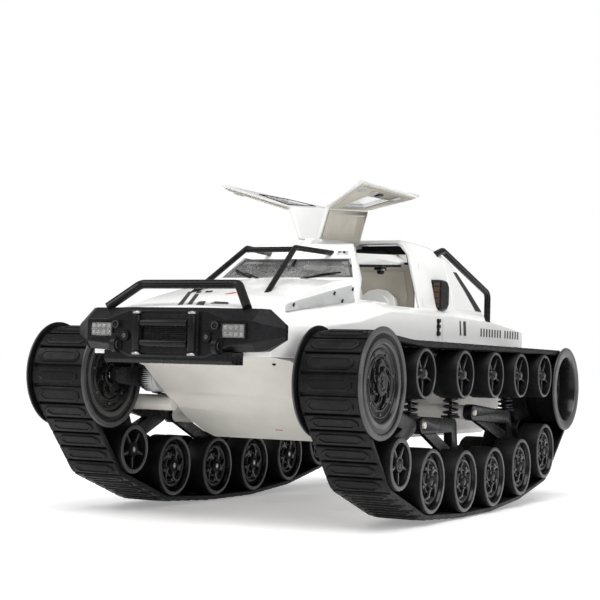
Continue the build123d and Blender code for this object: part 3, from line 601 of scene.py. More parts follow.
def road_wheel_mesh(r):
    """Twin road wheel: dished rims with a stepped ring, five leaning spokes and a hub cup."""
    build = Build()
    web = 16.2
    barrel(build, r, 5.2, 2.2, 3.0, web + 0.2, 5.4)
    bm, y = build.bm, HALF_WIDTH
    # Raised rings in lighter grey: painted highlight.
    add_lathe(bm, [(13.9, web), (14.4, web + 1.6), (14.1, web + 2.9), (13.3, web + 3.3), (12.6, web + 2.8),
                   (12.2, web + 1.4), (12.3, web)])
    add_lathe(bm, [(7.7, web + 0.8), (7.5, web + 2.6), (7.0, web + 2.9), (6.5, web + 2.6), (6.3, web + 0.8)])
    build.paint(EDGE_HIGHLIGHT)
    add_lathe(bm, [(12.3, web + 0.8), (11.5, web + 1.6), (10.9, web + 1.6), (10.5, web + 0.8)])
    add_spokes(bm, 5, blade(4.6, 13.0, 4.0, 2.6, 34.0), web, web + 3.0)
    add_spokes(bm, 5, blade(6.4, 11.2, 2.4, 1.2, -30.0), web, web + 1.8, start=122.0)
    build.paint(SATIN)
    # Thin strips on the spokes' tops and the studs in lighter grey: painted highlight.
    add_spokes(bm, 5, blade(5.0, 12.6, 1.6, 1.0, 34.0), web + 2.9, web + 3.5)
    add_studs(bm, 5, 9.6, 1.15, web, web + 3.1, start=54.0)
    build.paint(EDGE_HIGHLIGHT)
    add_lathe(bm, [(5.6, web), (5.4, web + 3.0), (4.9, y - 0.9), (4.2, y - 0.5), (3.5, y - 0.9),
                   (3.5, 17.9), (1.9, 17.9), (1.9, web)])
    build.paint(SATIN)
    mirrored(build)
    add_inner_cap(build)
    return build.mesh("road_wheel")


def guide_wheel_mesh(r):
    """Smaller twin wheel with a broad rim and five star-shaped openings."""
    build = Build()
    barrel(build, r, 5.2, 2.6, 3.3, 14.0, 5.2)
    bm, y = build.bm, HALF_WIDTH
    add_spokes(bm, 5, blade(4.4, 12.6, 3.4, 2.0, 0.0), 14.0, 19.2)
    add_spokes(bm, 5, blade(10.4, 12.6, 2.4, 5.2, 0.0), 14.0, 18.6)
    build.paint(SATIN)
    # Thin strips on the spokes' tops in lighter grey: painted highlight.
    add_spokes(bm, 5, blade(5.0, 12.2, 1.2, 0.9, 0.0), 19.1, 19.8)
    build.paint(EDGE_HIGHLIGHT)
    add_lathe(bm, [(5.4, 14.0), (5.2, 18.6), (4.6, y - 1.0), (3.5, y - 1.0), (3.5, 17.9), (1.9, 17.9),
                   (1.9, 14.0)])
    build.paint(SATIN)
    mirrored(build)
    add_inner_cap(build)
    return build.mesh("guide_wheel")


def return_roller_mesh(r):
    """Twin roller: a thin rim with a painted highlight, a deep well with painted shade on its floor and five
    narrow spokes to a cone hub.
    """
    build = Build()
    barrel(build, r, 5.6, 1.5, 2.1, 11.6, 4.6)
    bm = build.bm
    add_spokes(bm, 5, blade(3.6, 13.9, 2.6, 1.7, 0.0), 14.6, 18.4)
    build.paint(SATIN)
    # Thin strips on the spokes' tops in lighter grey: painted highlight.
    add_spokes(bm, 5, blade(4.4, 13.6, 1.0, 0.7, 0.0), 18.3, 18.9)
    build.paint(EDGE_HIGHLIGHT)
    add_lathe(bm, [(5.0, 11.4), (4.6, 17.4), (4.0, 19.0), (3.4, 19.9), (2.9, 20.5), (0.0, 20.8),
                   (0.0, 20.2), (1.9, 20.1), (1.9, 11.4)])
    build.paint(SATIN)
    # The hub nut in lighter grey: painted highlight.
    add_hex(bm, (0, 20.9, 0), 3.4, 0.9)
    build.paint(EDGE_HIGHLIGHT)
    mirrored(build)
    return build.mesh("return_roller")


def drive_wheel_mesh(flange_r):
    """Front wheel: wide flanges, concentric steps and a rosette round the hub."""
    build = Build()
    bm, y = build.bm, HALF_WIDTH
    drum = flange_r - FLANGE_LIP
    add_lathe(bm, [(1.8, 0.0), (drum - 5.2, 0.0), (drum - 5.2, 4.0), (drum - 0.4, 4.0), (drum, 4.4),
                   (drum, 19.6), (drum + 0.6, 19.6), (flange_r - 0.5, 19.6), (flange_r, 20.1)],
              closed=False)
    build.paint(TYRE)
    # The flange's rim and a ring on the face in lighter grey: painted highlights.
    add_lathe(bm, [(flange_r, 20.1), (flange_r, 20.8), (flange_r - 0.7, y), (29.9, y), (29.3, y - 0.5)],
              closed=False)
    add_lathe(bm, [(25.9, y - 0.9), (25.4, y - 0.7), (23.4, y - 0.7), (22.8, y - 1.2)], closed=False)
    build.paint(EDGE_HIGHLIGHT)
    add_lathe(bm, [(29.3, y - 0.5), (28.8, y - 1.1), (26.5, y - 1.1), (25.9, y - 0.9)], closed=False)
    add_lathe(bm, [(22.8, y - 1.2), (22.3, y - 2.4), (20.6, y - 2.6), (20.1, y - 2.1), (19.4, y - 2.1),
                   (18.9, y - 2.7), (16.8, y - 2.9), (16.2, y - 2.3), (15.3, y - 2.3), (14.7, y - 3.3),
                   (7.6, y - 3.6), (7.0, y - 3.0), (7.0, y - 1.2), (6.4, y - 0.7), (4.6, y - 0.7),
                   (4.0, y - 1.2), (4.0, y - 1.8), (1.9, y - 1.8), (1.8, 0.0)], closed=False)
    build.paint(SATIN)
    add_spokes(bm, 7, blade(7.2, 14.4, 2.8, 3.8, 38.0), y - 3.7, y - 2.2)
    add_spokes(bm, 7, blade(7.6, 12.6, 1.2, 1.7, 34.0), y - 2.3, y - 1.6, start=96.0)
    build.paint(SATIN)
    # Studs in lighter grey: painted highlight.
    add_studs(bm, 7, 17.8, 0.9, y - 3.2, y - 2.0, start=12.0)
    build.paint(EDGE_HIGHLIGHT)
    mirrored(build)
    add_disc(bm, (0, y - 1.15, 0), 3.9, 1.1, steps=40, edge=0.4)
    add_hex(bm, (0, y - 0.4, 0), 4.6, 0.7)
    build.paint(SATIN)
    add_lathe(bm, [(0.0, -y + 0.2), (1.6, -y + 0.3), (2.7, -y + 0.8), (3.0, -y + 1.6), (0.0, -y + 1.6)])
    build.paint(STEEL)
    return build.mesh("drive_wheel")


def rear_idler_mesh(flange_r):
    """Rear wheel: an open flanged ring on a hub plate set deep at the inner side."""
    build = Build()
    bm, y = build.bm, HALF_WIDTH
    drum = flange_r - FLANGE_LIP
    add_lathe(bm, [(flange_r, -20.1), (flange_r - 0.5, -19.6), (drum, -19.6), (drum, -4.4),
                   (drum - 0.4, -4.0), (drum - 3.4, -4.0), (drum - 3.4, 4.0), (drum - 0.4, 4.0),
                   (drum, 4.4), (drum, 19.6),
                   (flange_r - 0.5, 19.6), (flange_r, 20.1)], closed=False)
    build.paint(TYRE)
    add_lathe(bm, [(flange_r, 20.1), (flange_r - 0.1, 20.9), (flange_r - 0.9, y), (25.6, y),
                   (24.6, y - 0.4), (24.2, y - 1.2)], closed=False)
    build.paint(EDGE_HIGHLIGHT)
    add_lathe(bm, [(24.2, y - 1.2), (23.4, y - 2.6), (23.2, 8.4), (22.6, 8.0), (21.4, 8.0), (20.9, 7.4),
                   (20.7, -9.6), (20.1, -10.4), (9.0, -10.4), (8.2, -9.8), (6.0, -4.6), (1.9, -4.6),
                   (1.9, -20.6), (6.4, -20.6), (6.9, -19.8), (17.8, -19.8), (18.4, -20.4), (24.8, -20.8),
                   (25.4, -21.5), (flange_r - 0.9, -21.5), (flange_r, -20.9), (flange_r, -20.1)],
              closed=False)
    build.paint(SATIN)
    # Spokes set deep inside the ring, near-black: painted shade.
    add_spokes(bm, 6, blade(8.0, 20.4, 3.0, 3.0, 0.0), -10.6, -8.4)
    build.paint(RECESS_SHADE)
    return build.mesh("rear_idler")


def wheel(node, mesh):
    """One wheel on its own body, facing outwards on its side."""
    centre = axle(node)
    place = Matrix.Translation(centre * MM)
    if centre.y < 0:
        place = place @ turned(z=180)
    return shown(node + "_rim", mesh, node, (node,), smooth=32, place=place)


def wheels():
    """Every wheel of both tracks."""
    road = road_wheel_mesh(radius("road_wheel_left_1"))
    guide = guide_wheel_mesh(radius("guide_wheel_left"))
    roller = return_roller_mesh(radius("return_roller_left_1"))
    drive = drive_wheel_mesh(radius("drive_wheel_left"))
    rear = rear_idler_mesh(radius("rear_idler_left"))
    for word in SIDES:
        wheel("drive_wheel_" + word, drive)
        wheel("rear_idler_" + word, rear)
        wheel("guide_wheel_" + word, guide)
        for i in range(1, 6):
            wheel(f"road_wheel_{word}_{i}", road)
            wheel(f"return_roller_{word}_{i}", roller)


def springs():
    """Coil springs between the arms' seats and the damper collars."""
    for word in SIDES:
        for i in (1, 2, 3):
            node = f"damper_spring_{word}_{i}"
            low, high = corners(node)
            middle = (low + high) / 2
            wire, turns, steps = 0.75, 5.5, 150
            reach = (high.x - low.x) / 2 - wire
            build = Build()
            points = []
            for k in range(steps + 1):
                t = k / steps
                eased = min(max((t - 0.09) / 0.82, 0.0), 1.0)
                angle = 2 * math.pi * turns * t
                height = low.z + wire + (high.z - low.z - 2 * wire) * (0.04 * t + 0.96 * eased)
                points.append((middle.x + reach * math.cos(angle), middle.y + reach * math.sin(angle),
                               height))
            add_tube(build.bm, points, wire, steps=10)
            build.paint(WIRE)
            obj = piece(node + "_coil", build, "root", (node,), smooth=60)
            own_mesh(obj)


# ---------------------------------------------------------------- small parts laid on the CAD's skin
def skin_of(node):
    """A CAD node's surface, in millimetres, for laying small parts on it."""
    data = frame["nodes"][node].data
    return BVHTree.FromPolygons([v.co / MM for v in data.vertices], [p.vertices[:] for p in data.polygons])


BODY_SKIN = skin_of("upper_body_shell")
HULL_SKIN = skin_of("lower_hull")
DOWN = Vector((0, 0, -1))
FLANK_Y = 65.0                # half the body's width
BONNET_Z = 150.0              # a height close over the bonnet


def landed(point, ahead, skin=BODY_SKIN):
    """Where a point lands on a skin, coming from 80 mm before it."""
    place = skin.ray_cast(Vector(point) - 80.0 * ahead, ahead)[0]
    return Vector(point) if place is None else place


def add_patch(bm, outline, ahead, rise=0.25, skin=BODY_SKIN):
    """A thin plate whose outline lies on a skin."""
    places = [landed(point, ahead, skin) for point in outline]
    add_loops(bm, [[place + ahead * 0.5 for place in places], [place - ahead * rise for place in places]])


def from_above(corners):
    """An (x, y) outline as points that DOWN carries on to the bonnet."""
    return [(x, y, BONNET_Z) for x, y in corners]


def from_side(corners, side):
    """An (x, z) outline as points that are carried inwards on to a flank."""
    return [(x, side * FLANK_Y, z) for x, z in corners]


def slanted(x, y, length, width, lean):
    """A slanted bar on the bonnet."""
    return from_above([(x, y), (x - length, y + lean), (x - length, y + lean + width), (x, y + width)])


def bonnet_stripes(bm):
    """Slanted stripes and a small block of ticks on the bonnet."""
    for y, width in ((-9.0, 3.2), (-2.6, 3.2), (3.8, 5.0)):
        add_patch(bm, slanted(187.5, y, 46.0, width, -21.0), DOWN)
    for k in range(6):
        y = 10.4 + 2.0 * k
        add_patch(bm, from_above([(182.2, y), (180.2, y), (180.2, y + 1.2), (182.2, y + 1.2)]), DOWN)
    add_patch(bm, from_above([(178.6, 10.4), (177.6, 10.4), (177.6, 19.6), (178.6, 19.6)]), DOWN)


def quarter_strip(bm, side):
    """The dark strip down the sloping rear edge of a quarter."""
    ahead = Vector((0, -side, 0))
    edges = []
    for near, far, z in ((-109.5, -113.4, 168.8), (-127.0, -132.2, 155.0), (-144.4, -150.0, 141.0)):
        pillar, inner, outer = (landed((x, side * 60, z), ahead) for x in (-93.5, near, far))
        edges.append((inner.lerp(pillar, 0.14) - ahead * 0.5, outer - ahead * 0.5))
    for (inner, outer), (next_inner, next_outer) in zip(edges, edges[1:]):
        strip = [inner, outer, next_outer, next_inner]
        add_loops(bm, [[place + ahead * depth for place in strip] for depth in (0.9, 0.0)])


def flank_marks(bm, side):
    """Two slanted bars behind the door, and a row of dashes along the rear flank."""
    ahead = Vector((0, -side, 0))
    for x, width in ((-84.0, 2.4), (-94.0, 5.0)):
        bar = [(x, 121.0), (x + width, 121.0), (x + width + 1.5, 131.5), (x + 1.5, 131.5)]
        add_patch(bm, from_side(bar, side), ahead)
    for k in range(14):
        x = -124.0 - 6.0 * k - (5.0 if k > 7 else 0.0)
        add_patch(bm, from_side(rectangle(x, x - 2.6, 121.5, 127.5), side), ahead, 0.15)


def markings():
    """Plain stripes and ticks where the body carries its print, and one red tick."""
    build = Build()
    bonnet_stripes(build.bm)
    for side in SIDES.values():
        flank_marks(build.bm, side)
        quarter_strip(build.bm, side)
    build.paint(PRINT)
    add_patch(build.bm, from_above([(156, 4.6), (150, 6.8), (149, 9.4), (153, 8.0)]), DOWN)
    build.paint(RED)
    return piece("body_markings", build, "root")


def vent_fittings():
    """Latches on the side vent panels."""
    build = Build()
    panel = skin_of("side_vents")
    for side in SIDES.values():
        ahead = Vector((0, -side, 0))
        for x, z in ((151.9, 132.0), (97.8, 141.8), (90.5, 137.4), (74.1, 145.9)):
            place = landed((x, side * 55, z), ahead, panel)
            add_box(build.bm, place - ahead * 0.3, (2.8, 0.9, 1.1), turned(y=38))
            add_box(build.bm, place - ahead * 0.5 + Vector((0.7, 0, -0.5)), (1.1, 0.9, 1.6), turned(y=38))
    build.paint(DARK)
    return piece("vent_latches", build, "root", bevel=0.2)


def glass_point(y, z, rise=0.0):
    """A point of the windscreen's plane, and some way out of it."""
    x = 66.7 - (z - 153.4) * 14.0 / 14.6
    return Vector((x + rise * 0.72, y, z + rise * 0.69))


def windscreen():
    """Two panes in black seals, with two wipers."""
    glass, seals = Build(), Build()
    for side in SIDES.values():
        pane = [(1.2, 166.6), (38.8, 166.6), (47.2, 154.0), (1.2, 154.0)]
        add_loops(glass.bm, [[glass_point(side * y, z, rise) for y, z in pane] for rise in (-1.2, -0.2)])
        inner = [(2.2, 165.7), (38.2, 165.7), (45.4, 154.9), (2.2, 154.9)]
        for k in range(4):
            (ya, za), (yb, zb) = pane[k], pane[(k + 1) % 4]
            (yc, zc), (yd, zd) = inner[(k + 1) % 4], inner[k]
            strip = [(ya, za), (yb, zb), (yc, zc), (yd, zd)]
            add_loops(seals.bm, [[glass_point(side * v, z, rise) for v, z in strip]
                                 for rise in (-0.9, 0.35)])
    glass.paint(GLASS)
    seals.paint(GASKET)
    add_tube(seals.bm, [glass_point(-40.2, 157.7, 1.4), glass_point(-26.6, 152.8, 1.4)], 0.9, 10)
    add_tube(seals.bm, [glass_point(-31.6, 155.7, 2.0), glass_point(-21.3, 152.2, 2.0)], 0.5, 8)
    add_tube(seals.bm, [glass_point(12.4, 151.6, 1.6), glass_point(25.1, 154.4, 1.8),
                        glass_point(38.6, 156.2, 1.4)], 0.6, 8)
    add_tube(seals.bm, [glass_point(20.0, 153.6, 1.3), glass_point(30.0, 155.4, 1.3)], 0.85, 10)
    for y in (-21.3, 12.4):
        add_lathe(seals.bm, [(0.0, -1.0), (1.6, -1.0), (1.6, 0.8), (1.0, 1.4), (0.0, 1.4)],
                  glass_point(y, 151.8, 0.6), 20, "Z")
    seals.paint(DARK)
    piece("windscreen_panes", glass, "root", ("windshield_glass",))
    return piece("windscreen_seals_and_wipers", seals, "root", bevel=0.12)


def door_handles():
    """A black handle with three ribs behind each door."""
    build = Build()
    bm = build.bm
    for side in SIDES.values():
        y = side * 65.3
        add_box(bm, (-38.8, y, 125.0), (2.4, 1.6, 11.5))
        for z in (121.0, 126.0, 130.0):
            add_box(bm, (-38.8, y + side * 0.4, z), (4.0, 2.0, 2.6))
    build.paint(DARK)
    return piece("door_handles", build, "root", bevel=0.3)


def seams_and_sensor():
    """Seams in the pillars and flanks, and a small sensor plate on the header."""
    build = Build()
    for side in SIDES.values():
        ahead = Vector((0, -side, 0))
        seam = [(-33.0, 139.6), (-33.6, 139.6), (-41.6, 171.0), (-41.0, 171.0)]
        add_patch(build.bm, [(x, side * 55, z) for x, z in seam], ahead, 0.08)
        add_patch(build.bm, from_side(rectangle(-47.0, -47.7, 102.0, 132.0), side), ahead, 0.06)
    header = [(49.9, 28.0, 169.9), (49.9, 36.4, 169.9), (47.4, 35.4, 172.3), (47.4, 28.0, 172.3)]
    out = Vector((0.72, 0, 0.69))
    add_loops(build.bm, [[Vector(p) + rise * out for p in header] for rise in (-0.6, 0.4)])
    build.paint(GREY)
    for y in (29.6, 33.0):
        add_box(build.bm, Vector((48.7, y, 171.2)) + 0.5 * out, (1.0, 1.6, 1.0), turned(y=-44))
    build.paint(DARK)
    return piece("seams_and_sensor", build, "root")


def deck_cover():
    """A ribbed cover on the rear deck, and a plain panel on either side behind it."""
    build = Build()
    bm = build.bm
    add_box(bm, (-196.0, 30.0, 132.6), (26.0, 30.0, 5.2))
    add_box(bm, (-196.0, -30.0, 132.6), (26.0, 30.0, 5.2))
    add_box(bm, (-160.0, 0.0, 135.4), (64.0, 68.0, 2.4))
    for k in range(5):
        add_box(bm, (-180.0 + 10.0 * k, 0.0, 137.0), (3.0, 56.0, 1.2))
    build.paint(WHITE)
    return piece("deck_cover", build, "root", bevel=0.9)


def scoops():
    """Short box scoops behind the doors, with chamfered corners and slatted amber mouths."""
    build = Build()
    bm = build.bm
    x0, x1, z0, z1, out = -58.5, -76.0, 138.2, 160.2, 58.6
    for side in SIDES.values():
        shape = [(x0, z0 + 2.5), (x0, z1 - 1.5), (x0 - 1.5, z1), (x1 + 4, z1), (x1, z1 - 4), (x1, z0 + 4),
                 (x1 + 4, z0), (x0 - 2.5, z0)]
        inner = [(x - 0.12 * (x - (x0 + x1) / 2), z - 0.12 * (z - (z0 + z1) / 2)) for x, z in shape]
        add_loops(bm, [[(x, side * y, z) for x, z in ring] for ring, y in
                       ((shape, 47.0), (shape, out - 2.2), (inner, out))])
    build.paint(DARK)
    for side in SIDES.values():
        add_box(bm, (x0 + 0.1, side * 55.4, (z0 + z1) / 2), (0.8, 4.6, z1 - z0 - 4.4))
    build.paint(AMBER)
    for side in SIDES.values():
        for k in range(4):
            add_box(bm, (x0 + 0.4, side * 55.4, z0 + 4.6 + 4.2 * k), (0.8, 4.4, 0.7))
    build.paint(DARK)
    return piece("scoops_boxed", build, "root", ("air_scoops",), 0.35)


def quarter_panels():
    """White panels that close the quarters behind the pillars."""
    build = Build()
    for side in SIDES.values():
        ahead = Vector((0, -side, 0))
        for panel in ([(-93.5, 176.6), (-108.7, 169.6), (-126.6, 155.0), (-93.5, 155.0)],
                      [(-93.5, 155.0), (-126.6, 155.0), (-144.6, 140.6), (-93.5, 140.6)]):
            add_patch(build.bm, [(x, side * 60, z) for x, z in panel], ahead, 0.2)
    build.paint(WHITE)
    return piece("quarter_panels", build, "root")


def hull_marks():
    """A screw on each side of the bow, under its rim, and a small red mark low on it."""
    build = Build()
    bow = Vector((-0.6, 0, 0.8))
    mark = [(93.6, 8.2, 52.9), (93.6, 13.4, 52.9), (91.0, 13.4, 56.0), (91.0, 8.2, 56.0)]
    add_patch(build.bm, mark, bow, 0.4, HULL_SKIN)
    build.paint(RED)
    for side in SIDES.values():
        ahead = Vector((-0.9, -0.43 * side, 0))
        place = landed((160.0, side * 42.0, 96.6), ahead.normalized(), HULL_SKIN)
        add_disc(build.bm, place, 1.3, 0.8, "X", 20, 0.2)
    build.paint(DARK)
    return piece("hull_marks", build, "root")


# ---------------------------------------------------------------- cabin
def seat(bm, y):
    """A bucket seat with a rounded back."""
    add_box(bm, (-6.0, y, 126.0), (34.0, 27.0, 10.0))
    for dy in (-12.4, 12.4):
        add_box(bm, (-6.0, y + dy, 130.0), (33.0, 4.6, 8.0))
    half_back = [(14.5, 0.0), (15.0, 22.0), (12.5, 31.0), (7.0, 36.5)]
    outline = [(-v, z) for v, z in half_back] + [(0.0, 38.0)] + half_back[::-1]
    lean = turned(y=-12)
    for half, depth in ((1.0, 6.5), (0.72, 8.4)):
        place = Matrix.Translation((-33.0, y, 121.0)) @ lean
        loops = [[place @ Vector((x, v * half, 0.8 * z * (0.55 + 0.45 * half))) for v, z in outline]
                 for x in (0.0, depth)]
        add_loops(bm, loops)


CABIN_WALL = [(-45.0, 118.0), (45.0, 118.0), (45.0, 150.0), (42.0, 169.4), (-42.0, 169.4), (-45.0, 150.0)]
WALL_TOP = 169.6              # where the rear wall's trim ends and its dark lining, partly painted shade, begins


def cabin_walls(bm):
    """The floor, the rear wall with its raised panel, and ribbed sill trims."""
    add_box(bm, (-10.0, 0, 118.0), (112.0, 92.0, 3.0))
    add_slab(bm, CABIN_WALL, -44.0, -41.6)
    add_slab(bm, [(0.9 * y, 120.0 + 0.88 * (z - 118.0)) for y, z in CABIN_WALL], -42.0, -40.4)
    for side in SIDES.values():
        add_box(bm, (0.0, side * 47.0, 132.0), (86.0, 1.6, 11.0))
        for k in range(4):
            add_box(bm, (-26.0 + 17.0 * k, side * 46.0, 132.0), (10.0, 0.9, 6.0))


def dashboard(bm):
    """The dashboard, right across the cabin."""
    outline = [(58.0, 119.0), (58.0, 147.0), (52.0, 150.0), (42.0, 148.0), (38.0, 141.0), (41.0, 128.0),
               (38.0, 119.0)]
    add_plate(bm, outline, -43.0, 43.0)


def dials(bm):
    """A screen and three round dials on the dashboard."""
    add_box(bm, (40.0, 0, 142.0), (4.0, 22.0, 9.0))
    for y in (12.0, 24.0, 33.0):
        add_disc(bm, (39.6, y, 143.6), 3.0, 1.6, axis="X")


def steering_wheel(bm, hub=(29.0, 21.0, 142.0), reach=10.0, rim=1.2, lean=-22):
    """A steering wheel with three spokes across it, on its column."""
    section = [(rim * math.cos(a), rim * math.sin(a)) for a in (2 * math.pi * k / 10 for k in range(10))]
    place = Matrix.Translation(hub) @ turned(y=lean)
    loops = []
    for k in range(36):
        a = 2 * math.pi * k / 36
        loops.append([place @ Vector((h, (reach + r) * math.cos(a), (reach + r) * math.sin(a)))
                      for r, h in section])
    add_loops(bm, loops, ring=True)
    for k in range(3):
        add_box(bm, hub, (1.2, 2.4, 19.6), turned(y=lean) @ turned(x=60 * k))
    add_tube(bm, [(30.0, 21.0, 141.6), (44.0, 21.0, 136.0)], 1.8, 12)


def cabin():
    """Everything inside the cabin: trim, seats, dashboard and the dark lining under the roof, which is
    partly painted shade.
    """
    build = Build()
    bm = build.bm
    cabin_walls(bm)
    build.paint(CREAM)
    for y in (21.0, -21.0):
        seat(bm, y)
    build.paint(WHITE)
    dashboard(bm)
    build.paint(CREAM)
    dials(bm)
    steering_wheel(bm)
    build.paint(DARK)
    # The upper rear wall in the dark lining: partly painted shade under the roof.
    upper = [(-41.0, WALL_TOP), (41.0, WALL_TOP), (36.5, 181.0), (31.0, 183.4), (-31.0, 183.4),
             (-36.5, 181.0)]
    add_slab(bm, upper, -45.0, -43.0)
    build.paint(LINER_AND_SHADE)
    add_slab(bm, [(0.62 * y, WALL_TOP + 2.0 + 0.62 * (z - WALL_TOP)) for y, z in upper], -43.4, -42.2)
    add_plate(bm, [(-14.0, 172.6), (10.0, 172.0), (14.0, 178.6), (-14.0, 179.8)], -2.5, 2.5)
    build.paint(PANEL)
    # A dark plate along the middle under the roof: partly painted shade.
    add_plate(bm, [(-40.0, 170.6), (38.0, 168.6), (36.0, 176.0), (-34.0, 181.4), (-40.0, 181.4)], -2.0, 2.0)
    build.paint(LINER_AND_SHADE)
    return piece("cabin_trim", build, "root", ("cabin_interior",), 0.7)


def rail_trim():
    """Black seals under the roof rails, with a small lamp on each."""
    build = Build()
    bm = build.bm
    for side in SIDES.values():
        front = [(32.8, 161.6), (36.6, 161.6), (36.4, 163.6), (32.8, 163.6)]
        rear = [(36.6, 167.0), (40.4, 167.0), (40.2, 169.0), (36.6, 169.0)]
        add_loops(bm, [[(x, side * y, z) for y, z in section]
                       for x, section in ((48.0, front), (-29.0, rear))])
        add_box(bm, (-2.0, side * 36.4, 164.6), (9.0, 5.6, 3.0))
        lamp = [(0.0, -2.4), (1.9, -2.1), (2.6, -1.0), (2.7, 0.8), (0.0, 0.8)]
        add_lathe(bm, lamp, (-2.0, side * 36.6, 162.4), 24, "Z")
    build.paint(DARK)
    for side in SIDES.values():
        collar = [(0.0, -0.2), (2.9, -0.3), (3.1, 0.3), (2.9, 0.7), (0.0, 0.7)]
        add_lathe(bm, collar, (-2.0, side * 36.6, 163.2), 24, "Z")
    build.paint(STEEL)
    return piece("rail_seals_and_lamps", build, "root", bevel=0.2)


# ---------------------------------------------------------------- bumper and winch
BUMPER_MIDDLE = ((198.6, 127.4), (211.5, 127.4), (213.8, 125.4), (213.8, 99.6), (210.6, 95.4), (198.6, 95.4))
BUMPER_STATIONS = (           # (y, section as (x, z)) from the middle out to the swept end
    (0.0, BUMPER_MIDDLE),
    (25.5, BUMPER_MIDDLE),
    (31.5, ((198.6, 127.4), (208.5, 127.4), (213.7, 123.6), (213.7, 101.8), (210.0, 97.6), (198.6, 97.6))),
    (40.4, ((198.6, 127.4), (204.5, 127.4), (213.6, 120.4), (213.6, 106.0), (209.0, 102.4), (198.6, 102.4))),
    (55.5, ((198.6, 127.4), (203.0, 127.4), (212.4, 120.4), (212.4, 107.4), (208.0, 102.8), (198.6, 102.8))),
    (59.4, ((197.6, 127.2), (200.2, 127.2), (209.2, 118.8), (209.2, 108.6), (205.0, 103.2), (197.6, 103.2))),
    (70.2, ((196.6, 118.0), (198.4, 118.0), (199.8, 116.4), (199.8, 111.6), (198.4, 110.0), (196.6, 110.0))))


def bumper():
    """Faceted winch bumper with swept ends, lamp frames, bolts, knobs and a lower step."""
    build = Build()
    bm = build.bm
    left = [[(x, y, z) for x, z in section] for y, section in BUMPER_STATIONS]
    right = [[(x, -y, z) for x, y, z in loop] for loop in left[:0:-1]]
    add_loops(bm, right + left)
    add_prism(bm, [(199.0, 95.0), (211.0, 95.0), (213.0, 97.0), (213.0, 102.4), (199.0, 102.4)], 86.0,
              Matrix.Translation((0, -43.0, 0)) @ ACROSS)
    for side in SIDES.values():
        for y in (36.8, 52.0):
            add_box(bm, (213.9, side * y, 114.3), (1.6, 0.9, 9.2))
        for z in (110.0, 118.6):
            add_box(bm, (213.9, side * 44.4, z), (1.6, 16.0, 0.9))
        eye = [(4.6, -1.6), (4.6, 1.6), (2.0, 1.6), (2.0, -1.6)]
        add_lathe(bm, eye, (214.4, side * 34.0, 105.4), 28, "Y")
        add_box(bm, (212.6, side * 34.0, 107.0), (4.0, 7.0, 10.0))
        add_disc(bm, (214.4, side * 27.6, 110.6), 3.3, 2.6, "X", 32, 0.6)
        add_disc(bm, (214.6, side * 33.4, 117.2), 1.9, 3.6, "X", 24, 0.8)
    build.paint(DARK)
    # Bolt heads, knob rings and eye bushes in lighter grey: painted highlight.
    knob_ring = [(1.7, -0.3), (2.2, -0.3), (2.2, 0.5), (1.7, 0.5)]
    eye_bush = [(1.8, -1.7), (2.4, -1.9), (2.4, 1.9), (1.8, 1.7)]
    for side in SIDES.values():
        add_hex(bm, (215.9, side * 27.6, 110.6), 2.6, 1.0, "X")
        add_lathe(bm, knob_ring, (216.1, side * 33.4, 117.2), 24, "X")
        add_lathe(bm, eye_bush, (214.4, side * 34.0, 105.4), 24, "Y")
    build.paint(EDGE_HIGHLIGHT)
    return piece("winch_bumper", build, "root", ("front_bumper",), 0.45, 25)


def lamp_bars():
    """Two rows of lenses in each lamp, on a reflector, with a thin clear strip between the rows."""
    build = Build()
    bm = build.bm
    for side in SIDES.values():
        add_box(bm, (213.5, side * 44.4, 114.3), (1.0, 14.6, 8.0))
    build.paint(LAMP_BACK)
    for side in SIDES.values():
        for row in (112.4, 116.2):
            for k in range(4):
                add_lathe(bm, [(0.0, -0.6), (1.5, -0.6), (1.35, 0.2), (0.8, 0.7), (0.0, 0.9)],
                          (214.3, side * (39.2 + 3.5 * k), row), 16, "X")
        add_box(bm, (214.3, side * 44.4, 114.3), (0.7, 14.0, 0.5))
    build.paint(LENS)
    return piece("lamp_modules", build, "root", ("light_bars",), 0.0)


def fairlead():
    """Roller fairlead with polished roller ends, and a drum of rope behind it."""
    build = Build()
    bm = build.bm
    for y in (-19.2, 19.2):
        add_box(bm, (214.6, y, 112.4), (2.6, 6.6, 24.6))
    for z in (121.8, 102.8):
        add_box(bm, (214.6, 0, z), (2.6, 38.0, 3.4))
    for z in (118.2, 106.6):
        add_lathe(bm, [(0.0, -15.6), (2.0, -15.6), (2.2, -15.0), (2.2, 15.0), (2.0, 15.6), (0.0, 15.6)],
                  (216.2, 0, z), 24, "Y")
    for y in (-18.6, 18.6):
        add_lathe(bm, [(0.0, -10.4), (2.2, -10.4), (2.5, -9.6), (2.5, 9.6), (2.2, 10.4), (0.0, 10.4)],
                  (216.2, y, 112.4), 24, "Z")
    add_box(bm, (214.0, 0, 112.4), (0.8, 30.0, 9.6))
    build.paint(DARK)
    for k in range(7):
        z = 108.9 + 1.15 * k
        add_tube(bm, [(214.6, -14.5, z), (214.7, 0.0, z - 0.1), (214.6, 14.5, z)], 0.5, 8)
    build.paint(SATIN)
    cap = [(0.0, -0.8), (2.8, -0.8), (2.9, 0.2), (2.2, 0.9), (0.0, 1.0)]
    for y in (-18.6, 18.6):
        for z in (124.2, 100.6):
            add_lathe(bm, cap, (216.0, y, z), 24, "Z")
    build.paint(SHINE)
    return piece("roller_fairlead", build, "root", ("winch_and_tow_eyes",), 0.2)


# ---------------------------------------------------------------- doors
HINGE = (5.6, 177.5)
BEND = (13.9, 205.5)
TIP = (53.6, 216.8)
BEND_RISE = 0.088


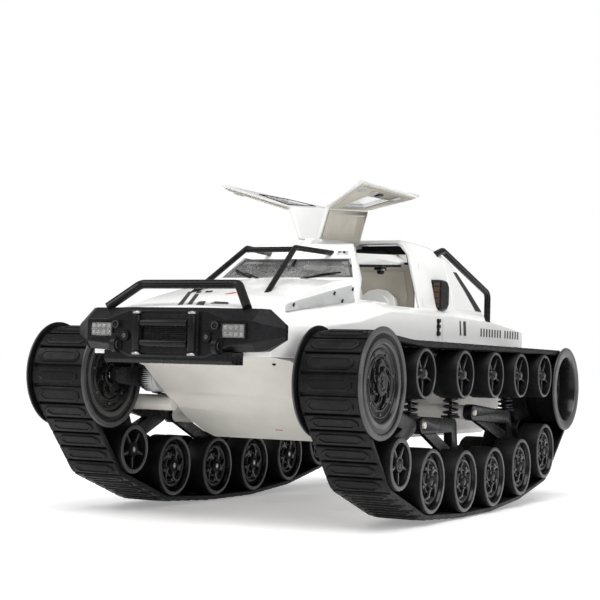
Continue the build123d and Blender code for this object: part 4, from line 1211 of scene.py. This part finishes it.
def door_point(side, x, s, n):
    """A point on an open door: s from 0 at the hinge, 1 at the bend, 2 at the tip; n towards the inside."""
    bend = (BEND[0], BEND[1] - BEND_RISE * (x - 8.0))
    (ya, za), (yb, zb), t = (HINGE, bend, s) if s <= 1 else (bend, TIP, s - 1)
    run = math.hypot(yb - ya, zb - za)
    y = ya + t * (yb - ya) + n * (zb - za) / run
    z = za + t * (zb - za) - n * (yb - ya) / run
    return Vector((x, side * y, z))


def add_door_panel(bm, side, outline, low, high):
    """A thin plate on an open door, with an (x, s) outline within one of its panels."""
    add_loops(bm, [[door_point(side, x, s, n) for x, s in outline] for n in (low, high)])


def add_door_ring(bm, side, outer, inner, low, high):
    """A closed band on a door between two outlines of the same count."""
    count = len(outer)
    for k in range(count):
        j = (k + 1) % count
        add_door_panel(bm, side, [outer[k], outer[j], inner[j], inner[k]], low, high)


def inset(outline, by_x, by_s):
    """An outline pulled in towards its middle."""
    mx = sum(x for x, _ in outline) / len(outline)
    ms = sum(s for _, s in outline) / len(outline)
    return [(x - math.copysign(by_x, x - mx), s - math.copysign(by_s, s - ms)) for x, s in outline]


def doors():
    """White outer skins, embossed trim inside, window seals, latches and edge marks."""
    for word, side in SIDES.items():
        body = "door_" + word
        softened(body, WHITE, body, 0.3)
        build = Build()
        bm = build.bm
        root = [(-25.4, 0.22), (34.6, 0.22), (36.2, 0.94), (-25.4, 0.94)]
        add_door_panel(bm, side, root, 1.05, 1.5)
        add_door_ring(bm, side, root, inset(root, 3.4, 0.09), 1.4, 1.9)
        add_door_panel(bm, side, [(-12.0, 0.4), (6.0, 0.4), (4.0, 0.78), (-10.0, 0.78)], 1.4, 2.0)
        for k in range(4):
            x = -21.0 + 2.4 * k
            add_door_panel(bm, side, [(x, 0.36), (x + 1.0, 0.36), (x + 1.0, 0.82), (x, 0.82)], 1.4, 2.1)
        tip = [(-25.4, 1.05), (39.5, 1.05), (62.5, 1.94), (-25.4, 1.94)]
        frame_in = [(-11.0, 1.11), (34.0, 1.11), (34.0, 1.72), (-11.0, 1.72)]
        add_door_ring(bm, side, tip, frame_in, 1.02, 1.6)
        add_door_ring(bm, side, inset(tip, 1.8, 0.04), inset(frame_in, -2.4, -0.06), 1.5, 2.0)
        build.paint(CREAM)
        seal = inset(frame_in, 0.0, 0.0)
        for low, high in ((-1.5, -0.9), (0.9, 2.0)):
            add_door_ring(bm, side, inset(seal, -0.7, -0.02), inset(seal, 1.0, 0.03), low, high)
        add_box(bm, door_point(side, 22.0, 1.76, 2.0), (7.0, 4.0, 1.6), turned(x=side * 16))
        build.paint(DARK)
        for k in range(8):
            x = 48.0 - 9.0 * k
            add_door_panel(bm, side, [(x, 1.86), (x - 2.6, 1.86), (x - 2.6, 1.89), (x, 1.89)], -1.25, -0.95)
        for x in (52.0, 34.0, -4.0):
            add_box(bm, door_point(side, x, 1.80, 2.0), (6.0, 5.0, 1.6), turned(x=side * 16))
        build.paint(GREY)
        piece(body + "_trim", build, body, bevel=0.25)
        dressed("door_window_" + word, GLASS)


# ---------------------------------------------------------------- CAD nodes with a finish
def dressed(node, material):
    """A CAD node whose shape is right, in its own material."""
    data = frame["nodes"][node].data
    data.materials.clear()
    data.materials.append(material)


CASE_Y = 60.5                 # the black cases of the final drives begin here, outside the grey motors


def frame_parts():
    """Moulded edges or a plain finish for the parts whose CAD shape is kept."""
    # The lower hull's darker colour is painted shade on its bow.
    softened("lower_hull", TUB_SHADED, "root", 0.5)
    shell = softened("upper_body_shell", WHITE, "root", 0.5).data
    # Shell faces under the roof that face inwards, or face down near the middle, take the dark lining:
    # painted shade on the white plastic.
    shell.materials.append(LINER_AND_SHADE)
    for face in shell.polygons:
        middle, inwards = face.center / MM, face.normal.y * math.copysign(1.0, face.center.y)
        under_roof = -40.0 < middle.x < 38.0 and middle.z > 163.0
        if under_roof and (inwards < -0.3 or abs(middle.y) < 3.0 and face.normal.z < -0.5):
            face.material_index = 1
    gearboxes = softened("drive_units", GREY, "root", 0.5).data
    gearboxes.materials.append(DARK)
    for face in gearboxes.polygons:
        face.material_index = 1 if abs(face.center.y) > CASE_Y * MM else 0
    softened("side_vents", GREY, "root", 0.15)
    softened("damper_barrels", DARK, "root", 0.25)
    for word in SIDES:
        for i in (1, 2, 3):
            arm = f"swing_arm_{word}_{i}"
            softened(arm, DARK, arm, 0.4)
    for node in ("bull_bar", "windshield_guard", "rear_roll_cage"):
        dressed(node, BAR)
    dressed("battery_pack", BLUE)
    dressed("control_board", DARK)


# ---------------------------------------------------------------- stage, lights and camera
def floor_and_backdrop():
    """A pale floor that runs on into a white backdrop."""
    material, nodes, links, surface, place = shader("studio_floor")
    cloud = noise_of(nodes, links, place, 3.0)
    share = spread(nodes, links, cloud, 0.0, 1.0)
    tone = blended(nodes, links, share, (0.93, 0.93, 0.93), (0.92, 0.92, 0.92))
    links.new(tone, surface.inputs["Base Color"])
    surface.inputs["Roughness"].default_value = 0.35
    surface.inputs["Emission Color"].default_value = (1.0, 1.0, 1.0, 1.0)
    surface.inputs["Emission Strength"].default_value = 0.3
    bm = bmesh.new()
    bmesh.ops.create_grid(bm, x_segments=4, y_segments=4, size=60.0)
    floor_mesh = bpy.data.meshes.new("studio_floor")
    bm.to_mesh(floor_mesh)
    bm.free()
    floor_mesh.materials.append(material)
    floor = bpy.data.objects.new("studio_floor", floor_mesh)

    glow = bpy.data.materials.new("studio_backdrop")
    glow.use_nodes = True
    tree = glow.node_tree
    tree.nodes.clear()
    light = tree.nodes.new("ShaderNodeEmission")
    light.inputs["Strength"].default_value = 1.0
    out = tree.nodes.new("ShaderNodeOutputMaterial")
    tree.links.new(light.outputs["Emission"], out.inputs["Surface"])
    bm = bmesh.new()
    bmesh.ops.create_uvsphere(bm, u_segments=48, v_segments=24, radius=55.0)
    dome_mesh = bpy.data.meshes.new("studio_backdrop")
    bm.to_mesh(dome_mesh)
    bm.free()
    dome_mesh.materials.append(glow)
    dome = bpy.data.objects.new("studio_backdrop", dome_mesh)
    dome.visible_diffuse = False
    dome.visible_glossy = False
    dome.visible_shadow = False
    for obj in (floor, dome):
        bpy.context.collection.objects.link(obj)


def aimed(name, data, place, target):
    """A light or camera at a place, looking at a target."""
    obj = bpy.data.objects.new(name, data)
    bpy.context.collection.objects.link(obj)
    obj.location = place
    obj.rotation_euler = (Vector(target) - Vector(place)).to_track_quat("-Z", "Y").to_euler()
    return obj


def lights():
    """A wide soft light from high up in front, with two soft boxes for the edges."""
    world = bpy.data.worlds.new("studio")
    world.use_nodes = True
    world.node_tree.nodes["Background"].inputs["Color"].default_value = (1.0, 1.0, 1.0, 1.0)
    world.node_tree.nodes["Background"].inputs["Strength"].default_value = 0.3
    bpy.context.scene.world = world
    sun = bpy.data.lights.new("sky_light", "SUN")
    sun.energy = 3.0
    sun.angle = math.radians(50)
    aimed("sky_light", sun, (0.9, 0.5, 2.2), (0, 0, 0))
    for name, size, energy, place in (("front_box", 0.9, 9.0, (0.9, -1.1, 1.1)),
                                      ("side_box", 0.8, 7.0, (0.5, 1.5, 0.9))):
        data = bpy.data.lights.new(name, "AREA")
        data.size = size
        data.energy = energy
        aimed(name, data, place, (0.0, 0.0, 0.08))


def camera():
    """The view from the front left, low down, with a slight roll."""
    data = bpy.data.cameras.new("view")
    data.sensor_width = 36.0
    data.lens = 92.18
    data.clip_start = 0.02
    data.clip_end = 200.0
    obj = bpy.data.objects.new("view", data)
    bpy.context.collection.objects.link(obj)
    heading, tilt, roll = math.radians(27.2), math.radians(2.47), math.radians(1.55)
    forward = Vector((-math.cos(heading) * math.cos(tilt), -math.sin(heading) * math.cos(tilt),
                      math.sin(tilt)))
    right = forward.cross(Vector((0, 0, 1))).normalized()
    up = right.cross(forward)
    right, up = (math.cos(roll) * right + math.sin(roll) * up, math.cos(roll) * up - math.sin(roll) * right)
    turn = Matrix((right, up, -forward)).transposed().to_4x4()
    obj.matrix_world = Matrix.Translation((0.9627, 0.4706, 0.0955)) @ turn
    bpy.context.scene.camera = obj


camera()
floor_and_backdrop()
lights()
bpy.context.scene.view_settings.view_transform = "Standard"
frame_parts()
for side_word in SIDES:
    track_belt(side_word)
wheels()
springs()
doors()
markings()
quarter_panels()
vent_fittings()
windscreen()
door_handles()
seams_and_sensor()
deck_cover()
scoops()
hull_marks()
cabin()
rail_trim()
bumper()
lamp_bars()
fairlead()
